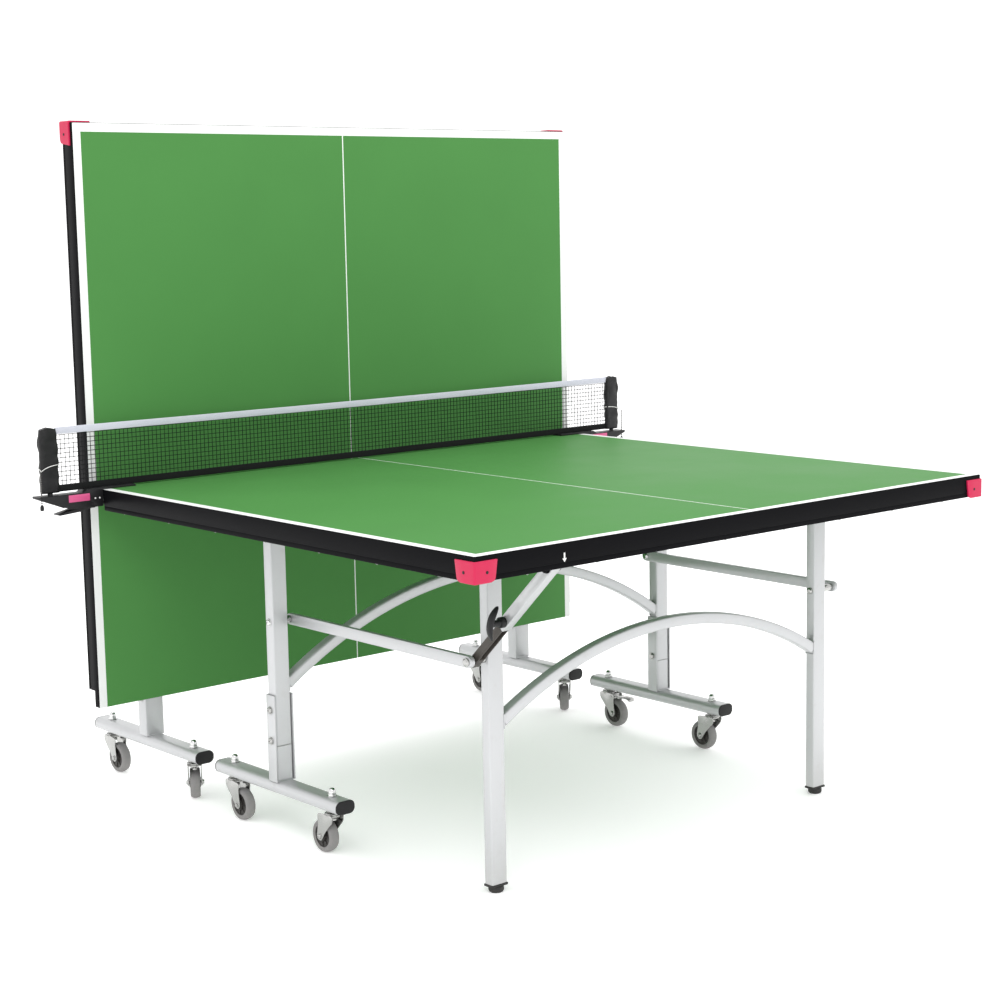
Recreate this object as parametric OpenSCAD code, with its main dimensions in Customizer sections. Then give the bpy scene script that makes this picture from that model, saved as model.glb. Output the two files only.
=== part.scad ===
// Folding table for ball and bat games: two wheeled halves, one open and one folded up.
// Millimetres. X runs along the net, Y along the table, Z up, and the floor is Z = 0.
// Each half is drawn with its net edge at Y = 0 and its end edge towards -Y, then placed.

/* [Table top] */
// Width of the playing surface along the net
top_width = 1525;
// [1200:1:1600]
// Length of one half, from net edge to end edge
half_length = 1370;
// [1200:1:1500]
// Height of the playing surface above the floor
surface_height = 760;
// [700:1:800]
// Thickness of the board
board_thickness = 22;
// [12:0.5:30]
// Depth of the steel apron under the board's edge
apron_depth = 28;
// [20:1:60]
// Thickness of the folded apron sheet
apron_wall = 2;
// [1:0.1:4]
// Width of the flange folded in under the apron
apron_flange = 12;
// [6:1:30]
// How far short of the net edge the side aprons stop
apron_stop = 40;
// [10:1:100]
// Length of each corner guard along its two sides
guard_length = 52;
// [30:1:100]
// Thickness of the corner guards
guard_wall = 5;
// [3:0.5:10]
// Height of the corner guards
guard_height = 42;
// [20:1:60]
// How far the guards start below the playing surface
guard_drop = 10;
// [0:1:30]
// Air left between pieces that are fastened together
seat_gap = 0.3;
// [0.1:0.1:1]

/* [Folding linkage] */
// Distance from the net edge back to the top's pivot
pivot_setback = 490;
// [350:1:560]
// Air between the pivoting tubes and the bracket plates over them
pivot_clear = 2.2;
// [1.5:0.1:8]
// Distance between the upright's pivot and the leg's pivot
link_length = 615;
// [450:1:700]
// Height between the upper and the lower pivots
link_drop = 228;
// [150:1:300]
// Diameter of the pivot bolts
pivot_bolt_d = 10;
// [6:0.5:14]
// Radial clearance of parts that turn on a bolt
run_gap = 0.05;
// [0.01:0.01:0.1]
// Sideways air between parts that pass each other
side_gap = 0.5;
// [0.3:0.1:2]
// Height of the link bars
link_height = 25;
// [12:1:40]
// Thickness of the link bars
link_width = 12;
// [4:1:20]
// Air between the strut and the link beside it
link_gap = 2;
// [1:0.1:6]
// Length of the spacer between each link and its upright
link_spacer = 14;
// [6:0.5:20]
// Thickness of the pivot brackets' ears
ear_wall = 3;
// [2:0.1:5]
// Thickness of the pivot brackets' plates
plate_wall = 2.5;
// [1.5:0.1:4]
// Thickness of the strut bracket's ears
strut_ear = 2.5;
// [1.5:0.1:4]
// Width and height of the rails under the board
rail_width = 20;
// [10:1:30]
// Distance from the upright's outer face to the rail beside it
rail_gap = 25;
// [10:1:60]
// How far the rails stop short of the end edge
rail_stop = 35;
// [20:1:80]
// How far the rails start from the net edge
rail_start = 60;
// [50:1:120]

/* [End legs] */
// Distance from the middle of the table to each end leg
leg_x = 500;
// [350:1:520]
// Width of the leg tube
leg_width = 40;
// [20:1:60]
// Depth of the leg tube
leg_depth = 25;
// [15:1:40]
// Wall of the leg, upright and bar tubes
tube_wall = 2;
// [1:0.1:4]
// Height of the lower end of the leg tube
leg_bottom = 18;
// [10:1:60]
// Height of the top of the leg arch
leg_arch_top = 500;
// [400:1:560]
// Radius of the outside of the leg arch
leg_arch_r = 950;
// [700:1:1500]
// Height and depth of the arch tubes
arch_size = 25;
// [15:1:40]
// Diameter of the levelling feet
foot_d = 32;
// [20:1:60]
// Diameter of the levelling screw
foot_screw_d = 8;
// [5:0.5:12]

/* [Wheeled uprights] */
// Width of the upright tube
upright_width = 40;
// [25:1:60]
// Depth of the upright tube
upright_depth = 30;
// [20:1:40]
// Height of the base arch's feet above the channels
arch_foot_gap = 8.26;
// [2:0.01:60]
// Radius of the outside of the base arch
base_arch_r = 1030;
// [700:1:1500]
// Length of the foot bars
bar_length = 470;
// [350:1:600]
// Width of the flat-oval foot bars
bar_width = 50;
// [30:1:80]
// Height of the flat-oval foot bars
bar_height = 30;
// [20:1:50]
// Height of the foot bars above the wheels
bar_over_wheel = 25;
// [24:0.5:50]
// Distance from the upright to each caster stem
stem_offset = 190;
// [120:1:220]
// Air beside the upright in its channel
channel_gap = 2;
// [0.3:0.1:5]
// Thickness of the channel's back
channel_back = 1.7;
// [1:0.1:5]
// Diameter of the bolts through the channel
channel_bolt_d = 8;
// [5:0.5:12]
// Wall of the channel
channel_wall = 3;
// [2:0.1:5]
// Height of the channel above the foot bar
channel_height = 196;
// [100:1:300]
// Height of the upright tube's lower end above the foot bar
tube_seat = 81;
// [0:1:100]

/* [Casters] */
// Diameter of the caster wheels
wheel_d = 75;
// [50:1:80]
// Width of the caster tyres
wheel_width = 24;
// [16:1:32]
// Distance from the stem to the wheel's axle, level
trail = 28;
// [10:1:40]
// Diameter of the caster axles
axle_d = 8;
// [5:0.5:12]
// Thickness of the fork plates
fork_wall = 2.5;
// [1.5:0.1:4]
// Air between the tyre and the fork plates
fork_gap = 2.3;
// [1.8:0.1:5]
// Diameter of the caster stems
stem_d = 10;
// [8:0.5:14]
// Diameter of the brake pedal's pin
pedal_pin_d = 5;
// [3:0.5:6]
// Length of the brake pedal
pedal_length = 62;
// [40:1:80]

/* [Telescopic strut] */
// Room for the bolt head between the leg's bracket and the strut's
strut_room = 3.5;
// [3.4:0.1:10]
// Depth of the strut's upper pivot below the playing surface
strut_pivot_drop = 54;
// [44:1:80]
// Outside of the strut's square tube
strut_size = 22;
// [16:1:24]
// Wall of the strut's square tube
strut_wall = 1.5;
// [1:0.1:3]
// Length of the square tube below its pivot
strut_tube_length = 195;
// [150:1:230]
// Length of the inner channel above its pivot
strut_rod_length = 292;
// [250:1:300]
// Diameter of the round boss of the pull knob
knob_boss_d = 22;
// [14:1:30]
// Length of the crescent handle
knob_length = 76;
// [40:1:100]
// Diameter of the pull knob's pin
knob_pin_d = 8;
// [4:0.5:10]
// How far the crescent handle stands out from the tube
knob_reach = 40;
// [26:1:42]
// Turn of the crescent handle from the line of the tube, in degrees
knob_turn = 30;
// [0:1:33]

/* [Net] */
// Distance from the net edge back to the net
net_setback = 20;
// [15:1:25]
// Height of the net above the playing surface
net_height = 152.5;
// [150:0.5:160]
// How far the net and its sleeves reach past each side edge
net_overhang = 149.5;
// [120:0.5:160]
// Height of the net's lower edge above the playing surface
net_low = 3;
// [1:0.5:10]
// Width of the sleeves over the posts
sleeve_width = 46;
// [30:1:60]
// Thickness of the sleeves
sleeve_thickness = 18;
// [12:1:30]
// Diameter of the net posts
post_d = 12;
// [8:1:16]
// How far the clamps reach in over the board
clamp_reach = 85;
// [40:1:120]
// Width of the clamps along the table
clamp_width = 38;
// [30:1:38]
// Diameter of the beads of the tension chain
bead_d = 4;
// [3:0.5:6]

/* [Rest position] */
// Distance from the open half's net edge to the folded half's playing surface
panel_gap = 26;
// [24:0.5:60]

/* [Hidden] */
$fn = 48;
e = 0.01;
under = surface_height - board_thickness;
pivot_drop = board_thickness + seat_gap + plate_wall + max(upright_depth, leg_depth) / 2 + pivot_clear;
pivot_z = surface_height - pivot_drop;
low_z = pivot_z - link_drop;
leg_y = -pivot_setback - link_length;
bar_bottom = wheel_d + bar_over_wheel;
bar_top = bar_bottom + bar_height;
channel_width = upright_width + 2 * (channel_gap + channel_wall);
channel_depth = upright_depth + 2 * (seat_gap + channel_back);
// outwards from the leg: its bracket, the strut, the link, its spacer and the upright
leg_out = leg_width / 2 + side_gap + ear_wall;
strut_x = leg_x + leg_out + strut_room + strut_ear + side_gap + strut_size / 2;
link_inner_x = strut_x + strut_size / 2 + link_gap;
upright_x = link_inner_x + link_width + link_spacer + upright_width / 2;
upright_out = upright_width / 2 + side_gap + ear_wall;
rail_x = upright_x + upright_width / 2 + rail_gap;
lug_d = pivot_bolt_d + 22;
head_d = pivot_bolt_d + 8;
arch_end = upright_x - channel_width / 2;
base_arch_top = bar_top + channel_height + arch_foot_gap + base_arch_r
  - sqrt(pow(base_arch_r - arch_size, 2) - pow(arch_end, 2));
strut_half_angle = 45;
strut_fy = leg_y - sqrt(pow(link_drop, 2) - pow(strut_pivot_drop - pivot_drop, 2));
strut_fz = surface_height - strut_pivot_drop;
strut_lean = atan2(leg_y - strut_fy, strut_fz - low_z);
strut_folded = strut_half_angle;
far_edge = panel_gap - pivot_setback + pivot_drop;
clamp_x = top_width / 2;
y_low = -half_length - guard_wall - seat_gap;
y_high = far_edge + pivot_setback + bar_length / 2 + 3;
shift = -(y_low + y_high) / 2;

steel = [0.80, 0.81, 0.80];
black = [0.06, 0.06, 0.065];
green = [0.15, 0.40, 0.18];
pink = [0.90, 0.07, 0.25];
zinc = [0.72, 0.73, 0.74];

// ---------- placing ----------
module near_at() { translate([0, shift, 0]) children(); }
module far_at() { translate([0, shift + far_edge, 0]) rotate([0, 0, 180]) children(); }
module turned(y0, z0, y1, z1, a) {
  translate([0, y1, z1]) rotate([-a, 0, 0]) translate([0, -y0, -z0]) children();
}
module top_folded() { turned(-pivot_setback, pivot_z, -pivot_setback, pivot_z, 90) children(); }
module legs_folded() { translate([0, link_length, link_length]) children(); }
module links_folded() { turned(-pivot_setback, low_z, -pivot_setback, low_z, 90) children(); }
module tube_folded() {
  turned(strut_fy, strut_fz, -pivot_setback + strut_fz - pivot_z,
         pivot_z - pivot_setback - strut_fy, strut_folded) children();
}
module rod_folded() {
  turned(leg_y, low_z, leg_y + link_length, low_z + link_length, strut_folded) children();
}
module both() { for (s = [-1, 1]) scale([s, 1, 1]) children(); }

// a round bar along X between two X values
module xrod(x0, x1, y, z, d) {
  translate([x0, y, z]) rotate([0, 90, 0]) cylinder(d = d, h = x1 - x0);
}
// a box between two corners
module span(a, b) { translate(a) cube(b - a); }
// a low dome on a round head, its flat side at x, looking towards +X or -X
module xhead(x, y, z, d, h, way) {
  translate([x, y, z]) rotate([0, 90 * way, 0]) {
    cylinder(d = d, h = h * 0.55);
    translate([0, 0, h * 0.55 - e]) cylinder(d1 = d * 0.92, d2 = d * 0.55, h = h * 0.45);
  }
}

// ---------- the top ----------
module board() {
  color(green) span([-top_width / 2, -half_length, under], [top_width / 2, 0, surface_height]);
}
module apron() {
  z1 = under - seat_gap; z0 = under - apron_depth; w = top_width / 2;
  color(black) difference() {
    span([-w, -half_length, z0], [w, -apron_stop, z1]);
    span([-w + apron_wall, -half_length + apron_wall, z0 + apron_wall],
         [w - apron_wall, 1, z1 + 1]);
    span([-w + apron_flange, -half_length + apron_flange, z0 - 1],
         [w - apron_flange, 1, z1 + 1]);
  }
}
module guards() {
  w = top_width / 2 + seat_gap; y = -half_length - seat_gap;
  z1 = surface_height - guard_drop; z0 = z1 - guard_height; r = 8;
  color(pink) both() difference() {
    span([w - guard_length, y - guard_wall, z0], [w + guard_wall, y + guard_length, z1]);
    span([w - guard_length - 1, y, z0 - 1], [w, y + guard_length + 1, z1 + 1]);
    difference() {
      span([w - guard_length - 1, y - guard_wall - 1, z0 - 1], [w - guard_length + r, y + 1, z0 + r]);
      translate([w - guard_length + r, y + 2, z0 + r]) rotate([90, 0, 0])
        cylinder(r = r, h = guard_wall + 6);
    }
    difference() {
      span([w - 1, y + guard_length - r, z0 - 1], [w + guard_wall + 1, y + guard_length + 1, z0 + r]);
      translate([w - 2, y + guard_length - r, z0 + r]) rotate([0, 90, 0])
        cylinder(r = r, h = guard_wall + 6);
    }
    translate([w - guard_length / 2, y + 1, (z0 + z1) / 2]) rotate([90, 0, 0])
      cylinder(d = 7, h = guard_wall + 3);
    xrod(w - 1, w + guard_wall + 2, y + guard_length / 2, (z0 + z1) / 2, 7);
  }
  color(black) both() {
    translate([w - guard_length / 2, y - 0.1, (z0 + z1) / 2]) rotate([90, 0, 0])
      cylinder(d = 6.4, h = guard_wall + 0.8);
    xrod(w + 0.1, w + guard_wall + 0.8, y + guard_length / 2, (z0 + z1) / 2, 6.4);
  }
}
// a bent bracket under the board: a plate and two ears bored for the pivot bolt
module bracket(x, half, y, z, ear, reach, plate, lug = lug_d, dip = 4) {
  zt = under - seat_gap;
  difference() {
    union() {
      span([x - half - ear, y - reach, zt - plate], [x + half + ear, y + reach, zt]);
      for (s = [-1, 1]) translate([x + s * (half + ear / 2), 0, 0]) {
        span([-ear / 2, y - lug / 2, z - dip], [ear / 2, y + lug / 2, zt]);
        xrod(-ear / 2, ear / 2, y, z - dip, lug - 0.1);
      }
    }
    xrod(x - half - ear - 1, x + half + ear + 1, y, z, pivot_bolt_d + 2 * run_gap);
  }
}
module rails(side) {
  zt = under - seat_gap; cross_y = leg_y - lug_d; out = strut_size / 2 + side_gap + strut_ear + 2.5;
  color(black) {
    both() difference() {
      span([rail_x, -half_length + rail_stop, zt - rail_width + 1], [rail_x + rail_width, -rail_start, zt]);
      span([rail_x + 2, -half_length + rail_stop - 1, zt - rail_width + 3],
           [rail_x + rail_width - 2, 1 - rail_start, zt - 2]);
    }
    difference() {
      span([-leg_x + 30, cross_y - 24, zt - rail_width + 1], [leg_x - 30, cross_y, zt]);
      span([-leg_x + 29, cross_y - 22, zt - rail_width + 3], [leg_x - 29, cross_y - 2, zt - 2]);
    }
    both() bracket(upright_x, upright_width / 2 + side_gap, -pivot_setback, pivot_z,
                   ear_wall, upright_depth / 2 + 30, plate_wall);
    both() bracket(leg_x, leg_width / 2 + side_gap, leg_y, pivot_z, ear_wall, leg_depth / 2 + 15.5, plate_wall);
    bracket(side * strut_x, strut_size / 2 + side_gap, strut_fy, strut_fz, strut_ear, strut_size / 2 + 1, plate_wall,
            pivot_bolt_d + 9, 0);
  }
  color(zinc) {
    xrod(side * strut_x - out, side * strut_x + out, strut_fy, strut_fz, pivot_bolt_d);
    xhead(side * strut_x + out - 0.1, strut_fy, strut_fz, head_d - 2, 4, 1);
    xhead(side * strut_x - out + 0.1, strut_fy, strut_fz, head_d - 2, 4, -1);
  }
}

// ---------- the wheeled frame ----------
module arch(r, top, y, size, half) {
  intersection() {
    translate([0, y + size / 2, top - r]) rotate([90, 0, 0]) difference() {
      cylinder(r = r, h = size, $fn = 96);
      translate([0, 0, -1]) cylinder(r = r - size, h = size + 2, $fn = 96);
    }
    span([-half, y - size, 0], [half, y + size, top + 1]);
  }
}
module tall_tube(x, y, w, d, z0) {
  round_r = d / 2 + min(1, pivot_clear / 2);
  difference() {
    span([x - w / 2, y - d / 2, z0], [x + w / 2, y + d / 2, pivot_z + d / 2]);
    difference() {
      span([x - w, y - d, pivot_z], [x + w, y + d, pivot_z + d]);
      xrod(x - w, x + w, y, pivot_z, 2 * round_r);
    }
    span([x - w / 2 + tube_wall, y - d / 2 + tube_wall, z0 - 1],
         [x + w / 2 - tube_wall, y + d / 2 - tube_wall, pivot_z + 4]);
    xrod(x - w, x + w, y, pivot_z, pivot_bolt_d + 2 * seat_gap);
    xrod(x - w, x + w, y, low_z, pivot_bolt_d + 2 * seat_gap);
  }
}
module upright_frame() {
  inner = upright_x - upright_width / 2;
  color(steel) difference() {
    union() {
      arch(base_arch_r, base_arch_top, -pivot_setback, arch_size, inner + 1);
      both() tall_tube(upright_x, -pivot_setback, upright_width, upright_depth, bar_top + tube_seat);
    }
    arch(base_arch_r - tube_wall, base_arch_top - tube_wall, -pivot_setback,
         arch_size - 2 * tube_wall, inner + tube_wall + 1);
    both() for (z = channel_bolts)
      xrod(upright_x - channel_width, upright_x + channel_width, -pivot_setback, z, channel_bolt_d + 2 * seat_gap);
  }
}
channel_bolts = [bar_top + tube_seat + 11, bar_top + channel_height - 34];
module oval(w, h) {
  intersection() { square([w, h], center = true); circle(d = w, $fn = 64); }
}
module foot_bars() {
  y = -pivot_setback; cw = channel_width / 2; cd = channel_depth / 2;
  color(steel) both() difference() {
    union() {
      translate([upright_x, y + bar_length / 2, bar_bottom + bar_height / 2]) rotate([90, 0, 0])
        linear_extrude(bar_length) oval(bar_width, bar_height);
      span([upright_x - cw, y - cd, bar_top - 1], [upright_x + cw, y + cd, bar_top + channel_height]);
    }
    translate([upright_x, y + bar_length / 2 + 1, bar_bottom + bar_height / 2]) rotate([90, 0, 0])
      linear_extrude(bar_length + 2) oval(bar_width - 2 * tube_wall, bar_height - 2 * tube_wall);
    // inside of the channel, open towards the end of the table
    span([upright_x - cw + channel_wall, y - cd - 1, bar_top],
         [upright_x + cw - channel_wall, y + upright_depth / 2 + seat_gap, bar_top + channel_height + 1]);
    for (s = [-1, 1]) translate([upright_x, y + s * stem_offset, bar_bottom - 1])
      cylinder(d = stem_d + 2 * seat_gap, h = bar_height + 2);
    for (z = channel_bolts)
      xrod(upright_x - channel_width, upright_x + channel_width, y, z, channel_bolt_d + 2 * seat_gap);
  }
  // stub of tube welded to the bar, under the upright's lower end
  color(steel) both() difference() {
    span([upright_x - upright_width / 2, y - upright_depth / 2, bar_top - 1],
         [upright_x + upright_width / 2, y + upright_depth / 2, bar_top + tube_seat - seat_gap]);
    span([upright_x - upright_width / 2 + tube_wall, y - upright_depth / 2 + tube_wall, bar_top],
         [upright_x + upright_width / 2 - tube_wall, y + upright_depth / 2 - tube_wall, bar_top + tube_seat + 1]);
  }
}
module foot_caps() {
  color(black) both() for (s = [-1, 1])
    translate([upright_x, -pivot_setback + s * (bar_length / 2 + seat_gap), bar_bottom + bar_height / 2])
      rotate([s > 0 ? -90 : 90, 0, 0]) {
        linear_extrude(2.7) oval(bar_width, bar_height);
        translate([0, 0, -14]) linear_extrude(14 + e)
          oval(bar_width - 2 * tube_wall - 2 * seat_gap, bar_height - 2 * tube_wall - 2 * seat_gap);
      }
}
module frame_bolts() {
  color(zinc) both() {
    // caster stems through the foot bars, with dome nuts on top
    for (s = [-1, 1]) translate([upright_x, -pivot_setback + s * stem_offset, 0]) {
      translate([0, 0, bar_bottom - 19]) cylinder(d = stem_d, h = bar_height + 19 + 2);
      translate([0, 0, bar_bottom - 3]) cylinder(d = stem_d + 16, h = 3 - seat_gap);
      translate([0, 0, bar_bottom - 23]) cylinder(d = stem_d + 8, h = 5);
      translate([0, 0, bar_top + seat_gap]) cylinder(d = stem_d + 12, h = 1.6);
      translate([0, 0, bar_top + 1]) cylinder(d = stem_d + 7, h = 7, $fn = 6);
      translate([0, 0, bar_top + 7.9]) cylinder(d1 = stem_d + 3.5, d2 = stem_d - 3, h = 5);
    }
    // bolts through the channel
    for (z = channel_bolts) {
      xrod(upright_x - channel_width / 2 - 1, upright_x + channel_width / 2 + 1, -pivot_setback, z, channel_bolt_d);
      xhead(upright_x + channel_width / 2 + seat_gap, -pivot_setback, z, channel_bolt_d + 10, 6, 1);
      xhead(upright_x - channel_width / 2 - seat_gap, -pivot_setback, z, channel_bolt_d + 8, 6, -1);
    }
    // pivot bolt of the top
    xrod(upright_x - upright_out - 3.5, upright_x + upright_out + 3.5, -pivot_setback, pivot_z, pivot_bolt_d);
    xhead(upright_x + upright_out + 1, -pivot_setback, pivot_z, head_d, 5, 1);
    xhead(upright_x - upright_out - 1, -pivot_setback, pivot_z, head_d, 5, -1);
    // pivot bolt of the link, with its spacer
    xrod(link_inner_x - 2, upright_x + upright_width / 2 + 2, -pivot_setback, low_z, pivot_bolt_d);
    xhead(upright_x + upright_width / 2 + seat_gap, -pivot_setback, low_z, head_d, 6, 1);
    xhead(link_inner_x - side_gap, -pivot_setback, low_z, head_d, 5, -1);
    xrod(link_inner_x + link_width + side_gap, upright_x - upright_width / 2 - seat_gap,
         -pivot_setback, low_z, head_d);
  }
}

// ---------- the end legs ----------
module leg_frame() {
  inner = leg_x - leg_width / 2;
  color(steel) difference() {
    union() {
      arch(leg_arch_r, leg_arch_top, leg_y, min(arch_size, leg_depth - 0.6), inner + 1);
      both() tall_tube(leg_x, leg_y, leg_width, leg_depth, leg_bottom);
    }
    arch(leg_arch_r - tube_wall, leg_arch_top - tube_wall, leg_y,
         min(arch_size, leg_depth - 0.6) - 2 * tube_wall, inner + tube_wall + 1);
  }
}
module leg_inserts() {
  w = leg_width; d = leg_depth; g = tube_wall + seat_gap;
  color(black) both() difference() {
    union() {
      span([leg_x - w / 2 - 1, leg_y - d / 2 - 1, leg_bottom - 5],
           [leg_x + w / 2 + 1, leg_y + d / 2 + 1, leg_bottom - seat_gap]);
      span([leg_x - w / 2 + g, leg_y - d / 2 + g, leg_bottom - 1],
           [leg_x + w / 2 - g, leg_y + d / 2 - g, leg_bottom + 30]);
    }
    translate([leg_x, leg_y, 0]) cylinder(d = foot_screw_d + 2 * run_gap, h = leg_bottom + 40);
  }
}
module leg_foot(s) {
  color(black) translate([s * leg_x, leg_y, 0]) {
    cylinder(d = foot_d - 4, h = 2);
    translate([0, 0, 2 - e]) cylinder(d = foot_d, h = leg_bottom - 7.5);
    cylinder(d = foot_screw_d, h = leg_bottom + 24);
  }
}
module leg_bolts(side) {
  color(zinc) for (s = [-1, 1]) scale([s, 1, 1]) {
    xrod(leg_x - leg_out - 3.5, leg_x + leg_out + 3.3, leg_y, pivot_z, pivot_bolt_d);
    xhead(leg_x + leg_out + seat_gap, leg_y, pivot_z, head_d - 2, 3, 1);
    xhead(leg_x - leg_out - 0.9, leg_y, pivot_z, head_d - 2, 4, -1);
    xrod(leg_x - leg_width / 2 - 3, link_inner_x + link_width + 2, leg_y, low_z, pivot_bolt_d);
    xhead(leg_x - leg_width / 2 - seat_gap, leg_y, low_z, head_d - 2, 5, -1);
    xhead(link_inner_x + link_width + side_gap, leg_y, low_z, head_d, 5, 1);
    if (s == side)
      xrod(leg_x + leg_width / 2 + seat_gap, strut_x - strut_bore / 2 - side_gap, leg_y, low_z, head_d - 2);
    else
      xrod(leg_x + leg_width / 2 + seat_gap, link_inner_x - side_gap, leg_y, low_z, head_d - 2);
  }
}
strut_bore = strut_size - 2 * strut_wall - 2 * side_gap;
module links() {
  color(steel) both() difference() {
    union() {
      span([link_inner_x, leg_y, low_z - link_height / 2],
           [link_inner_x + link_width, -pivot_setback, low_z + link_height / 2]);
      for (y = [leg_y, -pivot_setback])
        xrod(link_inner_x, link_inner_x + link_width, y, low_z, link_height + 1);
    }
    for (y = [leg_y, -pivot_setback])
      xrod(link_inner_x - 1, link_inner_x + link_width + 1, y, low_z, pivot_bolt_d + 2 * run_gap);
  }
}

// ---------- the telescopic strut ----------
// drawn upright from its lower pivot at the origin, then leaned
module leaned() {
  translate([0, leg_y, low_z]) rotate([strut_lean, 0, 0]) children();
}
strut_now = sqrt(pow(leg_y - strut_fy, 2) + pow(strut_fz - low_z, 2));
module strut_tube(side) {
  h = strut_size / 2; z0 = strut_now - strut_tube_length;
  color(steel) leaned() translate([side * strut_x, 0, 0]) difference() {
    span([-h, -h, z0], [h, h, strut_now + 12]);
    span([-h + strut_wall, -h + strut_wall, z0 - 1], [h - strut_wall, h - strut_wall, strut_now + 13]);
    xrod(-h - 1, h + 1, 0, strut_now, pivot_bolt_d + 2 * run_gap);
    if (side < 0) xrod(-h - 1, -h + strut_wall + 1, 0, z0 + 18, knob_pin_d + 2 * run_gap);
    else xrod(h - strut_wall - 1, h + 1, 0, z0 + 18, knob_pin_d + 2 * run_gap);
  }
}
module strut_rod(side) {
  h = strut_bore / 2;
  color(black) leaned() translate([side * strut_x, 0, 0]) difference() {
    span([-h, -h, -12], [h, h, strut_rod_length]);
    span([-h + 2, -h - 1, 14], [h - 2, h - 2, strut_rod_length + 1]);
    xrod(-h - 1, h + 1, 0, 0, pivot_bolt_d + 2 * run_gap);
    xrod(-h - 1, h + 1, 0, strut_now - strut_tube_length + 18, knob_pin_d + 2 * seat_gap);
  }
}
module pull_knob(side) {
  h = strut_size / 2; z0 = strut_now - strut_tube_length + 18;
  color(black) leaned() translate([side * strut_x, 0, z0]) scale([side, 1, 1]) {
    xrod(h - strut_wall - side_gap + seat_gap, h + 2, 0, 0, knob_pin_d);
    xrod(h + seat_gap, h + 12, 0, 0, knob_boss_d);
    xrod(h + 11, h + knob_reach - 4, 0, 0, knob_boss_d * 0.64);
    // crescent handle, its ends swept back towards the tube
    rotate([-knob_turn, 0, 0]) intersection() {
      translate([h + knob_reach - 0.92 * knob_length, 0, 0]) rotate([90, 0, 0]) translate([0, 0, -8]) difference() {
        cylinder(r = 0.92 * knob_length, h = 16, $fn = 96);
        translate([-9 - 1.05 * knob_length, 0, -1]) cylinder(r = 1.97 * knob_length, h = 18, $fn = 96);
      }
      span([h, -10, -knob_length / 2], [h + knob_reach + 4, 10, knob_length / 2]);
    }
  }
}

// ---------- casters ----------
// drawn with the stem at the origin and the wheel trailing towards +Y
module caster_at(x, y, a) { translate([x, y, 0]) rotate([0, 0, a]) children(); }
half_fork = wheel_width / 2 + fork_gap;
// pin that the brake pedal swings on, between the fork's plates
pedal_y = trail - 3;
pedal_z = wheel_d + 8.5;
module fork(brake = false) {
  zc = wheel_d / 2; zt = bar_bottom - 5;
  color(zinc) {
    difference() {
      union() {
        translate([0, 0, zt - 10]) cylinder(d = 2 * half_fork + 8, h = 8);
        for (s = [-1, 1]) translate([s * half_fork - (s < 0 ? fork_wall : 0), 0, 0])
          rotate([90, 0, 90]) linear_extrude(fork_wall) union() {
            polygon([[-17, zt - 2], [17, zt - 2], [pedal_y + 5, zt - 4], [pedal_y + 7, pedal_z - 6],
                     [trail + 9, zc + 4], [trail + 4, zc - 8.5],
                     [trail - 7, zc - 5], [-17, zt - 18]]);
            translate([trail, zc]) circle(d = axle_d + 11);
          }
        span([-half_fork - 0.1, -17, zt - 6], [half_fork + 0.1, 16, zt - 2]);
      }
      translate([0, 0, zt - 13]) cylinder(d = stem_d + 2 * run_gap, h = 20);
      translate([0, 0, zt - 12.2]) cylinder(d = stem_d + 9, h = 3 + 1);
      xrod(-30, 30, trail, zc, axle_d + 2 * seat_gap);
      if (brake) xrod(-30, 30, pedal_y, pedal_z, pedal_pin_d + 2 * seat_gap);
    }
    if (brake) xrod(-half_fork - fork_wall - 1, half_fork + fork_wall + 1, pedal_y, pedal_z, pedal_pin_d);
    // axle bolt
    xrod(-half_fork - fork_wall - 1, half_fork + fork_wall + 1, trail, zc, axle_d);
    xhead(half_fork + fork_wall + seat_gap, trail, zc, axle_d + 6, 4, 1);
    xhead(-half_fork - fork_wall - seat_gap, trail, zc, axle_d + 6, 4, -1);
  }
}
module wheel() {
  w = wheel_width / 2; r = wheel_d / 2; hub_r = axle_d / 2 + 8;
  color([0.42, 0.42, 0.43]) translate([0, trail, r]) rotate([0, 90, 0]) rotate_extrude($fn = 64)
    polygon([[axle_d / 2 + run_gap, -w - 1.5], [hub_r, -w - 1.5], [hub_r + 1, -w + 2], [r - 12, -w + 2],
             [r - 11, -w], [r - 4, -w], [r - 0.8, -w + 4], [r, 0], [r - 0.8, w - 4], [r - 4, w],
             [r - 11, w], [r - 12, w - 2], [hub_r + 1, w - 2], [hub_r, w + 1.5], [axle_d / 2 + run_gap, w + 1.5]]);
}
// pedal on its pin, reaching out over the wheel
module brake() {
  w = half_fork - side_gap;
  color([0.75, 0.76, 0.77]) difference() {
    union() {
      xrod(-w, w, pedal_y, pedal_z, pedal_pin_d + 4.5);
      span([-w, pedal_y + 1, pedal_z - 1.5], [w, pedal_y + pedal_length, pedal_z + 1.5]);
      span([-w, pedal_y + pedal_length - 3, pedal_z - 7], [w, pedal_y + pedal_length, pedal_z]);
      span([-8, pedal_y + 10, pedal_z - 6.5], [8, pedal_y + 17, pedal_z]);
    }
    xrod(-w - 1, w + 1, pedal_y, pedal_z, pedal_pin_d + 2 * run_gap);
  }
}

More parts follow.
